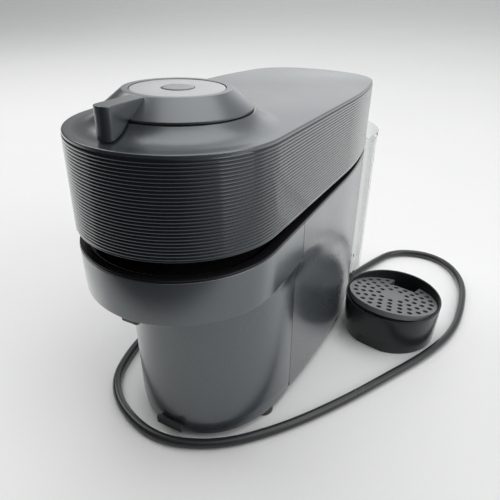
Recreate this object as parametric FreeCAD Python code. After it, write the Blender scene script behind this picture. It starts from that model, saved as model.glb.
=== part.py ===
import FreeCAD, Part
import math
import os

# Pod coffee machine: a casing with a hinged head, a spinning capsule drum, a water tank behind,
# a capsule bin as the front column, and a round drip tray standing beside it.
# Millimetres, +Z up, front towards -Y. The origin is on the standing plane under the drum axis.

V = FreeCAD.Vector
X_AXIS = V(1, 0, 0)
Y_AXIS = V(0, 1, 0)
Z_AXIS = V(0, 0, 1)

# Plan of the head and casing: a half round front, straight sides and a soft rounded rear
HEAD_R = 68.0
SIDE_END_Y = 127.0
SIDE_ARC_R = 400.0
CORNER_R = 45.0
REAR_ARC_R = 85.0
REAR_Y = 248.0

# Lower front: the column is narrower than the collar above it and set back from its front
SEAM_Y = 44.2
SEAM_GAP = 0.6
LOW_STEP = 5.0
NOSE_EASE = 7.0
NOSE_SETBACK = 33.0
LOW_HALF_W = HEAD_R - LOW_STEP
NOSE_R = LOW_HALF_W - NOSE_EASE
NOSE_FRONT_Y = NOSE_SETBACK - HEAD_R

# Walls and clearances
WALL = 2.5
FIT = 0.1
RUN = 0.3
SEAT = 0.2
TURN_GAP = RUN + FIT

# Heights, stacked from the floor up
FOOT_H = 6.0
BASE_T = 3.5
COLUMN_H = 119.0
NECK_H = 7.0
COLLAR_H = 32.0
BLEND_DROP = 17.5
BLEND_RISE = 2.5
DECK_DROP = 2.5
HEAD_GAP = 1.0
COVER_H = 57.7
PLATE_T = 2.0
POP_ANGLE = 2.1
BASE_Z = FOOT_H + BASE_T
BIN_TOP_Z = BASE_Z + COLUMN_H
COLLAR_Z = BIN_TOP_Z + NECK_H
BLEND_LOW_Z = COLLAR_Z - BLEND_DROP
BLEND_HIGH_Z = COLLAR_Z + BLEND_RISE
CASE_TOP_Z = COLLAR_Z + COLLAR_H
DECK_TOP_Z = CASE_TOP_Z - DECK_DROP
HEAD_Z = CASE_TOP_Z + HEAD_GAP
PLATE_Z = HEAD_Z + COVER_H
PLATE_TOP_Z = PLATE_Z + PLATE_T

# Base, feet and screws
BASE_INSET = 1.5
FOOT_R = 8.0
FRONT_FOOT_IN = 12.0
FRONT_FOOT_Y = 20.0
REAR_FOOT_IN = 11.0
REAR_FOOT_Y = 160.0
FOOT_PLACES = ((LOW_HALF_W - FRONT_FOOT_IN, FRONT_FOOT_Y), (HEAD_R - REAR_FOOT_IN, REAR_FOOT_Y))
SCREW_R = 2.5
SCREW_HEAD_H = 2.0
FRONT_SCREW_X = 40.0
FRONT_SCREW_Y = 60.0
REAR_SCREW_X = 29.0
REAR_SCREW_IN = 43.0
SCREW_PLACES = ((FRONT_SCREW_X, FRONT_SCREW_Y), (REAR_SCREW_X, REAR_Y - REAR_SCREW_IN))
SHELF_HALF_W = 42.0
SHELF_INSET = 6.0

# Casing details
COLLAR_EDGE_R = 3.0
COLLAR_FLOOR_T = 2.0
NECK_GAP = 0.6
BORDER_W = 4.0
BORDER_H = 2.2
DECK_T = 3.0
DECK_HOLE_GAP = 1.5

# Capsule drum, its cradle and drive
BOWL_R = 30.0
BOWL_WALL = 2.0
BOWL_LIP = 4.5
BOWL_FLANGE_T = 2.0
BOWL_RISE = 0.5
STUB_R = 5.0
BUSH_R = 8.0
CRADLE_R = 23.6
CRADLE_WALL = 2.0
CRADLE_DROP = 4.1
CRADLE_FLANGE_R = 34.0
PULLEY_SEAT_IN = 2.0
PULLEY_OUT = 5.0
PULLEY_RISE = 14.6
PULLEY_T = 6.0
GROOVE_D = 1.5
GROOVE_H = 3.6
BOWL_TOP_Z = DECK_TOP_Z + BOWL_RISE
BOWL_FLANGE_R = BOWL_R + BOWL_LIP
DECK_HOLE_R = BOWL_FLANGE_R + DECK_HOLE_GAP
CRADLE_Z = BOWL_TOP_Z - BOWL_R - BOWL_WALL - CRADLE_DROP
PULLEY_SEAT_R = BOWL_R - PULLEY_SEAT_IN
PULLEY_R = BOWL_R + PULLEY_OUT
PULLEY_Z = CRADLE_Z + PULLEY_RISE
MOTOR_Y = 95.0
MOTOR_R = 22.0
MOTOR_H = 44.0
MOTOR_DROP = 5.0
MOTOR_PULLEY_R = 11.5
MOTOR_SHAFT_R = 2.5
BELT_T = 1.5
BELT_H = 3.0
SHELF_T = 3.0
CLAMP_W = 4.0
CLAMP_H = 8.0
SHELF_Z = PULLEY_Z - MOTOR_DROP - MOTOR_H - SHELF_T
CLAMP_R = MOTOR_R + CLAMP_W

# Coffee path
GUTTER_GAP = 1.5
GUTTER_W = 9.0
GUTTER_WALL = 1.5
GUTTER_H = 10.0
OUTLET_HALF_W = 6.5
OUTLET_SETBACK = 4.0
OUTLET_L = 14.0
OUTLET_HANG = 5.5
OUTLET_WALL = 1.8
GUTTER_IN_R = DECK_HOLE_R + GUTTER_GAP
GUTTER_OUT_R = GUTTER_IN_R + GUTTER_W
GUTTER_Z = DECK_TOP_Z - DECK_T - GUTTER_H
OUTLET_FRONT_Y = OUTLET_SETBACK - HEAD_R
OUTLET_BACK_Y = OUTLET_FRONT_Y + OUTLET_L
OUTLET_Z = COLLAR_Z - OUTLET_HANG

# Water and power units inside the casing
CHASSIS_T = 2.5
CHASSIS_IN = 5.0
CHASSIS_DROP = 2.5
SHELF_FRAME_HALF_W = 32.0
SHELF_FRAME_GAP = 11.0
LEG_W = 8.0
BOILER_R = 25.0
BOILER_Y = 82.0
BOILER_H = 70.0
PUMP_X = -22.0
PUMP_IN = 63.0
PUMP_W = 34.0
PUMP_L = 48.0
PUMP_H = 40.0
MOUNT_H = 10.0
MOUNT_R = 6.0
METER_X = 26.0
METER_IN = 58.0
METER_R = 13.0
METER_H = 18.0
BOARD_IN = 16.0
BOARD_T = 1.6
BOARD_Y = (70.0, 140.0)
BOARD_H = 66.0
HOSE_R = 3.0
HOSE_BORE_R = 1.8
CHASSIS_HALF_W = LOW_HALF_W - CHASSIS_IN
CHASSIS_TOP_Z = BIN_TOP_Z - CHASSIS_DROP
PUMP_Y = REAR_Y - PUMP_IN
SHELF_FRAME_END_Y = PUMP_Y - PUMP_L / 2 - SHELF_FRAME_GAP
METER_Y = REAR_Y - METER_IN
BOARD_X = LOW_HALF_W - BOARD_IN

# Tank at the rear: clear, open topped, wrapped round the casing's rear
TANK_R = 60.0
TANK_IN = 1.0
TANK_REACH = 21.25
TANK_GAP = 3.5
TANK_WALL = 2.2
TANK_WING_R = 6.0
TANK_RISE = 3.5
TANK_BEAD = 1.0
TANK_BEAD_H = 3.0
POCKET_HALF_W = 16.0
POCKET_L = 34.0
POCKET_H = 22.0
SPIGOT_OUT = 21.0
SPIGOT_HALF_W = 8.0
SPIGOT_RISE = 12.5
NOZZLE_R = 4.0
NOZZLE_L = 10.0
VALVE_WALL = 3.0
VALVE_L = 12.0
VALVE_LIP = 1.5
TANK_Y = REAR_Y - TANK_IN
TANK_Z = BASE_Z + RUN
TANK_TOP_Z = CASE_TOP_Z + TANK_RISE
POCKET_END_Y = REAR_Y + POCKET_L
POCKET_TOP_Z = TANK_Z + POCKET_H
SPIGOT_Y = REAR_Y + SPIGOT_OUT
SPIGOT_Z = BASE_Z + SPIGOT_RISE
VALVE_R = NOZZLE_R + VALVE_WALL

# Capsule bin, the front column
BIN_WALL = 2.2
BIN_FLOOR = 2.5
BIN_EDGE_R = 3.0
HOOK_HALF_W = 11.0
HOOK_RISE = 1.0
HOOK_H = 7.0
HOOK_OUT = 4.0
HOOK_IN = 2.0

# Drip tray and its grid, standing apart beside the casing
TRAY_Y = 178.0
TRAY_GAP = 0.3
TRAY_TOP_R = 45.3
TRAY_TAPER = 1.3
TRAY_H = 38.0
TRAY_WALL = 2.0
TRAY_FACET_DEPTH = 2.0
TRAY_FACET_H = 11.0
TRAY_FACET_ANGLE = 260.0
GRID_MARGIN = 1.0
GRID_T = 1.8
GRID_SKIRT = 5.0
GRID_SKIRT_T = 1.6
GRID_SINK = 1.2
GRID_TILT = 12.0
GRID_TURN = -9.0
GRID_RING_COUNT = 4
GRID_RING_IN = 5.8
GRID_RING_STEP = 7.5
GRID_HOLE_R = 2.5
GRID_HOLE_PITCH = 9.5
GRID_NOTCH_HALF_W = 13.0
GRID_NOTCH_DEPTH = 16.3
TRAY_X = HEAD_R + TRAY_GAP + TRAY_TOP_R
TRAY_FOOT_R = TRAY_TOP_R - TRAY_TAPER
TRAY_FACET = TRAY_FOOT_R - TRAY_FACET_DEPTH
GRID_R = TRAY_TOP_R - TRAY_WALL - GRID_MARGIN
GRID_Z = TRAY_H - GRID_SINK

# Hinge at the rear of the head
HINGE_IN = 9.0
HINGE_RISE = 17.5
PIN_R = 2.5
KNUCKLE_R = 4.5
EAR_X = (3.0, 9.0)
ARM_W = 5.0
ARM_GAP = 0.4
HINGE_BLOCK_H = 9.0
HINGE_NOTCH_IN = 20.0
HINGE_Y = REAR_Y - HINGE_IN
HINGE_Z = CASE_TOP_Z + HINGE_RISE
HINGE_NOTCH_Y = REAR_Y - HINGE_NOTCH_IN

# Head interior
UNDER_T = 2.5
UNDER_GAP = 0.3
UNDER_HOLE_GAP = 3.5
BRIDGE_RISE = 27.5
BRIDGE_T = 3.0
POST_R = 5.0
POST_IN = 18.0
POST_Y = (70.0, 160.0)
READER = (10.0, 8.0, 8.0)
READER_GAP = 5.4
BEARING_R = 13.0
BEARING_BORE = 8.0
BEARING_H = 15.0
INJECTOR_LIP = 0.5
INJECTOR_RISE = 6.5
INJECTOR_T = 3.0
NEEDLE_R = 1.2
NEEDLE_IN = 4.5
NEEDLE_COUNT = 18
NEEDLE_L = 4.0
SEAL_W = 3.0
SEAL_T = 1.5
BRIDGE_Z = HEAD_Z + BRIDGE_RISE
POST_X = HEAD_R - POST_IN
INJECTOR_R = BOWL_R + INJECTOR_LIP
INJECTOR_Z = BOWL_TOP_Z + INJECTOR_RISE
UNDER_HOLE_R = INJECTOR_R + UNDER_HOLE_GAP
NEEDLE_RING_R = INJECTOR_R - NEEDLE_IN
SEAL_IN_R = INJECTOR_R - SEAL_W

# Flare of the top plate, lever ring, dial and button
FLARE_MARGIN = 5.5
FLARE_TOP_R = 46.0
FLARE_H = 8.2
FLARE_LIP = 4.0
RING_GAP = 0.5
RING_STEP = 1.2
RING_EDGE_H = 1.2
RING_H = 11.1
RING_TOP_R = 32.4
RING_RIM = 4.0
RING_EASE = 1.0
RING_WALL = 3.0
RING_SKIRT_L = 7.9
DISC_T = 3.2
DISC_DROP = 0.3
BUTTON_R = 9.6
BUTTON_PROUD = 0.3
BUTTON_LIP = 1.2
STEM_R = 2.0
STEM_L = 0.8
DIAL_POST_R = 20.0
DIAL_POST_WALL = 3.0
DIAL_FLANGE_IN = 2.0
LEDGE_W = 3.0
SWITCH_W = 6.0
PRESS_TRAVEL = 1.2
LEVER_TURN = -5.0
LEVER_ROOT = 0.8
LEVER_TIP_IN = 1.8
LEVER_HALF_W = 5.5
LEVER_TIP_DROP = 0.8
LEVER_CLEAR = 0.6
SLEEVE_WALL = 3.0
SLEEVE_LEG_ANGLE = 14.0
LEVER_RANGE = 50.0
SLOT_SLACK = 2.0
LOCK_RISE = 1.0
LOCK_T = 5.0
LOCK_LIP = 0.8
LUG_COUNT = 3
FLARE_FOOT_R = HEAD_R - FLARE_MARGIN
FLARE_BORE_R = FLARE_TOP_R - FLARE_LIP
FLARE_TOP_Z = PLATE_TOP_Z + FLARE_H
RING_Z = FLARE_TOP_Z + RING_GAP
RING_TOP_Z = RING_Z + RING_H
RING_FOOT_R = FLARE_TOP_R - RING_STEP
RING_BORE_R = RING_TOP_R - RING_RIM
RING_SKIRT_R = FLARE_BORE_R - TURN_GAP
RING_SKIRT_Z = RING_Z - RING_SKIRT_L
DISC_R = RING_BORE_R - TURN_GAP
DIAL_FLANGE_R = DISC_R - DIAL_FLANGE_IN
BUTTON_HOLE_R = BUTTON_R + TURN_GAP
LEVER_INNER_R = RING_TOP_R + LEVER_ROOT
LEVER_TIP_R = FLARE_FOOT_R - LEVER_TIP_IN
LOCK_Z = INJECTOR_Z + LOCK_RISE
LOCK_R = RING_SKIRT_R - RING_WALL
READER_Y = -LOCK_R - READER_GAP - READER[1] / 2

# Mains cord: round three-core lead on the floor, with its plug behind the far side
CORD_R = 3.8
GROMMET_START = (47.0, 219.0, 4.8)
GROMMET_L = 22.0
GROMMET_ROOT_R = 4.6
GROMMET_TIP_R = 4.2
GLAND_X = (39.0, 53.0)
GLAND_Y = (198.0, 219.0)
GLAND_Z = 0.5
FLOOR_Z = 4.0
CORD_ROUTE = [
    (67, 283), (83, 320), (119, 334), (150, 322), (171, 286), (176, 236), (174, 193), (160, 151),
    (133, 101), (105, 51), (73, 4), (36, -34), (-13, -51), (-73, -26), (-91, 27), (-90, 84),
    (-93, 136),
]
CORD_END = (-93.0, 186.0, 8.0)
PLUG_L = 34.0
PLUG_W = 27.0
PLUG_H = 18.0
PLUG_NECK_L = 16.0
PLUG_NECK_R = 5.5
PLUG_LIFT = 0.2
BLADE_L = 17.0
BLADE_W = 6.3
BLADE_T = 1.5
BLADE_SPACING = 12.7
EARTH_R = 2.4
EARTH_DROP = 8.0


def box(x0, x1, y0, y1, z0, z1):
    return Part.makeBox(x1 - x0, y1 - y0, z1 - z0, V(x0, y0, z0))


def rod(radius, z0, z1, x=0.0, y=0.0):
    return Part.makeCylinder(radius, z1 - z0, V(x, y, z0))


def pipe(outer, inner, z0, z1, x=0.0, y=0.0):
    return rod(outer, z0, z1, x, y).cut(rod(inner, z0, z1, x, y))


def cross_rod(radius, x0, x1, y, z):
    return Part.makeCylinder(radius, x1 - x0, V(x0, y, z), X_AXIS)


def long_rod(radius, y0, y1, z):
    return Part.makeCylinder(radius, y1 - y0, V(0, y0, z), Y_AXIS)


def polar(centre, radius, angle):
    a = math.radians(angle)
    return V(centre[0] + radius * math.cos(a), centre[1] + radius * math.sin(a), 0)


def arc(centre, radius, start, end):
    middle = (start + end) / 2
    points = [polar(centre, radius, angle) for angle in (start, middle, end)]
    return Part.Arc(*points).toShape()


def line(a, b):
    return Part.LineSegment(a, b).toShape()


def prism(edges, z0, z1):
    face = Part.Face(Part.Wire(edges))
    solid = face.extrude(V(0, 0, z1 - z0))
    solid.translate(V(0, 0, z0))
    return solid


def turned(points):
    """Solid of revolution about Z of a closed (radius, height) polygon."""
    corners = [V(r, 0, z) for r, z in points]
    wire = Part.makePolygon(corners + corners[:1])
    return Part.Face(wire).revolve(V(0, 0, 0), Z_AXIS, 360)


def heading(a, b):
    return math.degrees(math.atan2(b[1] - a[1], b[0] - a[0]))


def circles_meet(a, radius_a, b, radius_b):
    """Right-hand meeting point of two circles, seen from the first centre to the second."""
    distance = math.hypot(b[0] - a[0], b[1] - a[1])
    along = (distance ** 2 + radius_a ** 2 - radius_b ** 2) / (2 * distance)
    off = math.sqrt(radius_a ** 2 - along ** 2)
    ux = (b[0] - a[0]) / distance
    uy = (b[1] - a[1]) / distance
    return (a[0] + along * ux - off * uy, a[1] + along * uy + off * ux)


# Arc centres of the plan, shared by every inset of it
SIDE_C = (HEAD_R - SIDE_ARC_R, SIDE_END_Y)
REAR_C = (0.0, REAR_Y - REAR_ARC_R)
CORNER_C = circles_meet(SIDE_C, SIDE_ARC_R - CORNER_R, REAR_C, REAR_ARC_R - CORNER_R)
SIDE_TURN = heading(SIDE_C, CORNER_C)
REAR_TURN = heading(REAR_C, CORNER_C)
LOW_ARC_R = ((SIDE_END_Y - SEAM_Y) ** 2 + LOW_STEP ** 2) / (2 * LOW_STEP)
NOSE_DEPTH = SEAM_Y - NOSE_FRONT_Y
NOSE_Y = NOSE_FRONT_Y + NOSE_R
NOSE_LEAD = NOSE_DEPTH - NOSE_R
NOSE_SIDE_R = (LOW_HALF_W ** 2 + NOSE_LEAD ** 2 - NOSE_R ** 2) / (2 * NOSE_EASE)


def rear_edges(inset):
    """Sides past the straight stretch, corners and rear of the plan, right to left."""
    flip = (-SIDE_C[0], SIDE_C[1])
    corner_flip = (-CORNER_C[0], CORNER_C[1])
    return [
        arc(SIDE_C, SIDE_ARC_R - inset, 0, SIDE_TURN),
        arc(CORNER_C, CORNER_R - inset, SIDE_TURN, REAR_TURN),
        arc(REAR_C, REAR_ARC_R - inset, REAR_TURN, 180 - REAR_TURN),
        arc(corner_flip, CORNER_R - inset, 180 - REAR_TURN, 180 - SIDE_TURN),
        arc(flip, SIDE_ARC_R - inset, 180 - SIDE_TURN, 180),
    ]


def plan_edges(inset):
    """Whole plan of the head: half round front, straight sides, rounded rear."""
    r = HEAD_R - inset
    return [
        arc((0, 0), r, -180, 0),
        line(V(r, 0, 0), V(r, SIDE_END_Y, 0)),
        *rear_edges(inset),
        line(V(-r, SIDE_END_Y, 0), V(-r, 0, 0)),
    ]


def rear_plan_edges(inset, front_y, low):
    """Plan behind a line across the casing, at the collar's width or at the column's."""
    r = HEAD_R - inset
    if low:
        centre = (HEAD_R - LOW_ARC_R, SIDE_END_Y)
        radius = LOW_ARC_R - inset
        dip = math.degrees(math.asin((front_y - SIDE_END_Y) / radius))
        right = arc(centre, radius, dip, 0)
        left = arc((-centre[0], centre[1]), radius, 180, 180 - dip)
        x = centre[0] + radius * math.cos(math.radians(dip))
    else:
        right = line(V(r, front_y, 0), V(r, SIDE_END_Y, 0))
        left = line(V(-r, SIDE_END_Y, 0), V(-r, front_y, 0))
        x = r
    return [line(V(-x, front_y, 0), V(x, front_y, 0)), right, *rear_edges(inset), left]


def column_edges(inset, back_y):
    """Plan of the front column: a round nose eased into its sides, flat at the back."""
    side_c = (LOW_HALF_W - NOSE_SIDE_R, SEAM_Y)
    nose_c = (0.0, NOSE_Y)
    ease = heading(side_c, nose_c)
    radius = NOSE_SIDE_R - inset
    stop = math.degrees(math.asin((back_y - SEAM_Y) / radius))
    x = side_c[0] + radius * math.cos(math.radians(stop))
    return [
        arc(nose_c, NOSE_R - inset, -180 - ease, ease),
        arc(side_c, radius, ease, stop),
        line(V(x, back_y, 0), V(-x, back_y, 0)),
        arc((-side_c[0], side_c[1]), radius, 180 - stop, 180 - ease),
    ]


def casing_body(inset, front_y, z0, z1):
    """Rear casing form: narrow low down at the seam, full width above, eased between."""
    low = Part.Wire(rear_plan_edges(inset, front_y, True))
    high = Part.Wire(rear_plan_edges(inset, front_y, False))
    low.translate(V(0, 0, BLEND_LOW_Z))
    high.translate(V(0, 0, BLEND_HIGH_Z))
    ease = Part.makeLoft([low, high], True, True)
    foot = prism(rear_plan_edges(inset, front_y, True), z0, BLEND_LOW_Z)
    top = prism(rear_plan_edges(inset, front_y, False), BLEND_HIGH_Z, z1)
    return foot.fuse([ease, top]).removeSplitter()


def edges_at(shape, z):
    """Edges that lie wholly at one height."""
    found = []
    for edge in shape.Edges:
        bounds = edge.BoundBox
        if abs(bounds.ZMin - z) < 1e-4 and abs(bounds.ZMax - z) < 1e-4:
            found.append(edge)
    return found


def mirrored(shape):
    return shape.mirror(V(0, 0, 0), X_AXIS)


def both_sides(shape):
    return Part.makeCompound([shape, mirrored(shape)])


def route_wire(points, radii=None):
    """Straight runs joined by tangent arcs, each as large as its two runs allow."""
    nodes = [V(*p) for p in points]
    edges = []
    start = nodes[0]
    for i in range(1, len(nodes) - 1):
        before = nodes[i - 1] - nodes[i]
        after = nodes[i + 1] - nodes[i]
        half = (math.pi - before.getAngle(after)) / 2
        reach = 0.45 * min(before.Length, after.Length)
        radius = reach / math.tan(half)
        if radii is not None:
            radii.append(radius)
        before.normalize()
        after.normalize()
        first = nodes[i] + before * reach
        last = nodes[i] + after * reach
        inward = before + after
        inward.normalize()
        middle = nodes[i] + inward * (radius / math.cos(half) - radius)
        edges.append(line(start, first))
        edges.append(Part.Arc(first, middle, last).toShape())
        start = last
    edges.append(line(start, nodes[-1]))
    return Part.Wire(edges)


def swept(points, radius, radii=None):
    path = route_wire(points, radii)
    first = V(*points[0])
    along = V(*points[1]) - first
    ring = Part.Wire(Part.makeCircle(radius, first, along))
    return path.makePipeShell([ring], True, False)


def hose(points, ends=()):
    """Hollow hose along a route, trimmed to the faces of the pieces that it joins."""
    tube = swept(points, HOSE_R).cut(swept(points, HOSE_BORE_R))
    if ends:
        tube = tube.cut(list(ends))
    return max(tube.Solids, key=lambda piece: piece.Volume)


shapes = {}
head_nodes = set()


def add(name, shape):
    shapes[name] = shape


def add_head(name, shape):
    """A piece of the head, drawn closed and then swung up to the popped-open rest."""
    shapes[name] = shape
    head_nodes.add(name)


# Base plate under the column and casing, with the tank shelf, the cord gland and a notch for
# the strain relief, which points along the cord's first run
grommet_root = V(*GROMMET_START)
grommet_along = V(CORD_ROUTE[0][0], CORD_ROUTE[0][1], FLOOR_Z) - grommet_root
grommet_along.normalize()
grommet_tip = grommet_root + grommet_along * GROMMET_L
relief_notch = box(grommet_root.x - GROMMET_ROOT_R - RUN * 3, grommet_tip.x + GROMMET_ROOT_R + RUN * 3,
                   GLAND_Y[1], grommet_tip.y, FOOT_H, BASE_Z)
front_back_y = SEAM_Y - SEAM_GAP / 2
rear_front_y = SEAM_Y + SEAM_GAP / 2
base = prism(column_edges(BASE_INSET, SEAM_Y), FOOT_H, BASE_Z)
base = base.fuse(prism(rear_plan_edges(BASE_INSET, SEAM_Y, True), FOOT_H, BASE_Z))
shelf = box(-SHELF_HALF_W, SHELF_HALF_W, REAR_C[1], TANK_Y + TANK_R, FOOT_H, BASE_Z)
base = base.fuse(shelf.common(rod(TANK_R - SHELF_INSET, FOOT_H, BASE_Z, 0, TANK_Y)))
gland = box(GLAND_X[0], GLAND_X[1], GLAND_Y[0], GLAND_Y[1], GLAND_Z, FOOT_H)
screw_holes = []
for sx, sy in SCREW_PLACES:
    screw_holes.append(rod(SCREW_R + FIT, FOOT_H, BASE_Z, sx, sy))
    screw_holes.append(rod(SCREW_R + FIT, FOOT_H, BASE_Z, -sx, sy))
add("base_plate", base.fuse(gland).removeSplitter().cut(screw_holes + [relief_notch]))

# Four rubber feet, domed at the rim
feet = []
for fx, fy in FOOT_PLACES:
    foot = rod(FOOT_R, 0, FOOT_H, fx, fy)
    foot = foot.makeFillet(FOOT_R / 8, edges_at(foot, 0))
    feet.append(foot)
    feet.append(mirrored(foot))
add("rubber_feet", Part.makeCompound(feet))

# Screws through the base into the casing's chassis
screws = []
for sx, sy in SCREW_PLACES:
    shank = rod(SCREW_R, FOOT_H - SCREW_HEAD_H, BASE_Z, sx, sy)
    screw = shank.fuse(rod(SCREW_R * 1.8, FOOT_H - SCREW_HEAD_H, FOOT_H, sx, sy))
    screws.append(screw)
    screws.append(mirrored(screw))
add("base_screws", Part.makeCompound(screws))

# Rear casing: one moulded shell from the seam round the back, with the spigot's way through
shell = casing_body(0, rear_front_y, BASE_Z, CASE_TOP_Z)
shell = shell.cut(casing_body(WALL, rear_front_y - WALL, BASE_Z, CASE_TOP_Z))
tail_y = REAR_Y - WALL * 4
spigot_hole = long_rod(HOSE_R + RUN, tail_y, REAR_Y + WALL, SPIGOT_Z)
add("rear_shell", shell.cut(spigot_hole))

# Front collar: round wall, floor with the drum's opening, and a neck over the column
collar = prism(plan_edges(0), COLLAR_Z, CASE_TOP_Z)
collar = collar.makeFillet(COLLAR_EDGE_R, edges_at(collar, COLLAR_Z))
collar = collar.cut(prism(plan_edges(WALL), COLLAR_Z + COLLAR_FLOOR_T, CASE_TOP_Z))
collar = collar.cut(box(-HEAD_R, HEAD_R, front_back_y, REAR_Y + WALL, COLLAR_Z, CASE_TOP_Z))
neck_z = BIN_TOP_Z + NECK_GAP
neck = prism(column_edges(0, front_back_y), neck_z, COLLAR_Z)
neck = neck.cut(prism(column_edges(BIN_WALL, front_back_y), neck_z, COLLAR_Z))
collar = collar.fuse(neck).removeSplitter()
collar = collar.cut(rod(CRADLE_R + FIT, COLLAR_Z, COLLAR_Z + COLLAR_FLOOR_T))
outlet_way = box(-OUTLET_HALF_W - FIT, OUTLET_HALF_W + FIT, OUTLET_FRONT_Y - FIT, OUTLET_BACK_Y + FIT,
                 COLLAR_Z, COLLAR_Z + COLLAR_FLOOR_T)
add("front_collar", collar.cut(outlet_way))

# Brew deck: black plate across the casing's top with a raised border and the drum's hole
deck_inset = WALL + FIT
deck = prism(plan_edges(deck_inset), DECK_TOP_Z - DECK_T, DECK_TOP_Z)
border = prism(plan_edges(deck_inset), DECK_TOP_Z, DECK_TOP_Z + BORDER_H)
border = border.cut(prism(plan_edges(deck_inset + BORDER_W), DECK_TOP_Z, DECK_TOP_Z + BORDER_H))
deck = deck.fuse(border).removeSplitter()
hinge_seat = box(-EAR_X[1] - FIT, EAR_X[1] + FIT, HINGE_Y - KNUCKLE_R - FIT, REAR_Y,
                 DECK_TOP_Z, DECK_TOP_Z + BORDER_H)
add("brew_deck", deck.cut([rod(DECK_HOLE_R, DECK_TOP_Z - DECK_T, DECK_TOP_Z), hinge_seat]))

# Drum cradle: a cup hung in the collar's floor that carries the drum's bush
cradle_top = COLLAR_Z + COLLAR_FLOOR_T + CRADLE_WALL
cradle = turned([
    (BUSH_R, CRADLE_Z), (CRADLE_R, CRADLE_Z), (CRADLE_R, cradle_top - CRADLE_WALL),
    (CRADLE_FLANGE_R, cradle_top - CRADLE_WALL), (CRADLE_FLANGE_R, cradle_top),
    (CRADLE_R - CRADLE_WALL, cradle_top), (CRADLE_R - CRADLE_WALL, CRADLE_Z + CRADLE_WALL),
    (BUSH_R, CRADLE_Z + CRADLE_WALL),
])
add("drum_cradle", cradle)
bush_top = CRADLE_Z + 2 * CRADLE_WALL
add("drum_bearing", pipe(BUSH_R, STUB_R + FIT, CRADLE_Z, bush_top))

# Capsule holder: a spinning bowl with a flange, a seat for its pulley and a stub shaft
bowl_out = BOWL_R + BOWL_WALL
bowl_centre = V(0, 0, BOWL_TOP_Z)
bowl = Part.makeSphere(bowl_out, bowl_centre, V(0, 0, -1), 0, 90, 360)
bowl_low_z = BOWL_TOP_Z - bowl_out
bowl = bowl.fuse(rod(BOWL_FLANGE_R, BOWL_TOP_Z - BOWL_FLANGE_T, BOWL_TOP_Z))
bowl = bowl.fuse(rod(PULLEY_SEAT_R, PULLEY_Z, PULLEY_Z + PULLEY_T))
bowl = bowl.fuse(rod(STUB_R, CRADLE_Z + FIT, bowl_low_z + BOWL_WALL))
bowl = bowl.cut(Part.makeSphere(BOWL_R, bowl_centre))
add("capsule_holder", bowl.removeSplitter())


def pulley(radius, bore, y):
    """Flat belt pulley with one shallow groove round its rim."""
    low = PULLEY_Z
    high = PULLEY_Z + PULLEY_T
    middle = (low + high) / 2
    wheel = turned([
        (bore, low), (radius, low), (radius, middle - GROOVE_H / 2),
        (radius - GROOVE_D, middle - GROOVE_H / 2), (radius - GROOVE_D, middle + GROOVE_H / 2),
        (radius, middle + GROOVE_H / 2), (radius, high), (bore, high),
    ])
    wheel.translate(V(0, y, 0))
    return wheel


add("drum_pulley", pulley(PULLEY_R, PULLEY_SEAT_R, 0))

# Drive motor on the chassis shelf, its clamp, shaft, pulley and the belt to the drum
shelf_top = SHELF_Z + SHELF_T
motor_top = shelf_top + MOTOR_H
motor = rod(MOTOR_R, shelf_top, motor_top, 0, MOTOR_Y)
motor = motor.makeFillet(SHELF_T / 2, edges_at(motor, motor_top))
add("drive_motor", motor.cut(rod(MOTOR_SHAFT_R + FIT, shelf_top, motor_top, 0, MOTOR_Y)))
clamp = pipe(CLAMP_R, MOTOR_R + FIT, shelf_top, shelf_top + CLAMP_H, 0, MOTOR_Y)
add("motor_bracket", clamp)
add("motor_shaft", rod(MOTOR_SHAFT_R, shelf_top + FIT, PULLEY_Z + PULLEY_T, 0, MOTOR_Y))
add("motor_pulley", pulley(MOTOR_PULLEY_R, MOTOR_SHAFT_R, MOTOR_Y))


def belt_loop(radius_a, radius_b, z0, z1):
    """Loop round two pulleys: two arcs and the two straight runs that touch both."""
    lean = math.degrees(math.asin((radius_a - radius_b) / MOTOR_Y))
    far = (0.0, MOTOR_Y)
    return prism([
        arc((0, 0), radius_a, 180 - lean, 360 + lean),
        line(polar((0, 0), radius_a, lean), polar(far, radius_b, lean)),
        arc(far, radius_b, lean, 180 - lean),
        line(polar(far, radius_b, 180 - lean), polar((0, 0), radius_a, 180 - lean)),
    ], z0, z1)


belt_z = PULLEY_Z + (PULLEY_T - BELT_H) / 2
belt_in = RUN - GROOVE_D
belt = belt_loop(PULLEY_R + belt_in + BELT_T, MOTOR_PULLEY_R + belt_in + BELT_T, belt_z, belt_z + BELT_H)
belt = belt.cut(belt_loop(PULLEY_R + belt_in, MOTOR_PULLEY_R + belt_in, belt_z, belt_z + BELT_H))
add("drive_belt", belt)

# Coffee collector: a gutter round the drum with a chute to the outlet
gutter_top = DECK_TOP_Z - DECK_T
gutter = pipe(GUTTER_OUT_R, GUTTER_IN_R, GUTTER_Z, gutter_top)
chute_y = OUTLET_FRONT_Y
chute = box(-OUTLET_HALF_W, OUTLET_HALF_W, chute_y, -GUTTER_IN_R, GUTTER_Z, gutter_top)
chute = chute.cut(rod(GUTTER_IN_R, GUTTER_Z, gutter_top))
gutter = gutter.fuse(chute).removeSplitter()
hollow = pipe(GUTTER_OUT_R - GUTTER_WALL, GUTTER_IN_R + GUTTER_WALL, GUTTER_Z + GUTTER_WALL, gutter_top)
run = box(-OUTLET_HALF_W + OUTLET_WALL, OUTLET_HALF_W - OUTLET_WALL, chute_y + OUTLET_WALL,
          -GUTTER_IN_R - GUTTER_WALL * 2, GUTTER_Z + GUTTER_WALL, gutter_top)
drop = box(-OUTLET_HALF_W + OUTLET_WALL, OUTLET_HALF_W - OUTLET_WALL, OUTLET_FRONT_Y + OUTLET_WALL,
           OUTLET_BACK_Y - OUTLET_WALL, GUTTER_Z, GUTTER_Z + GUTTER_WALL)
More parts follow.
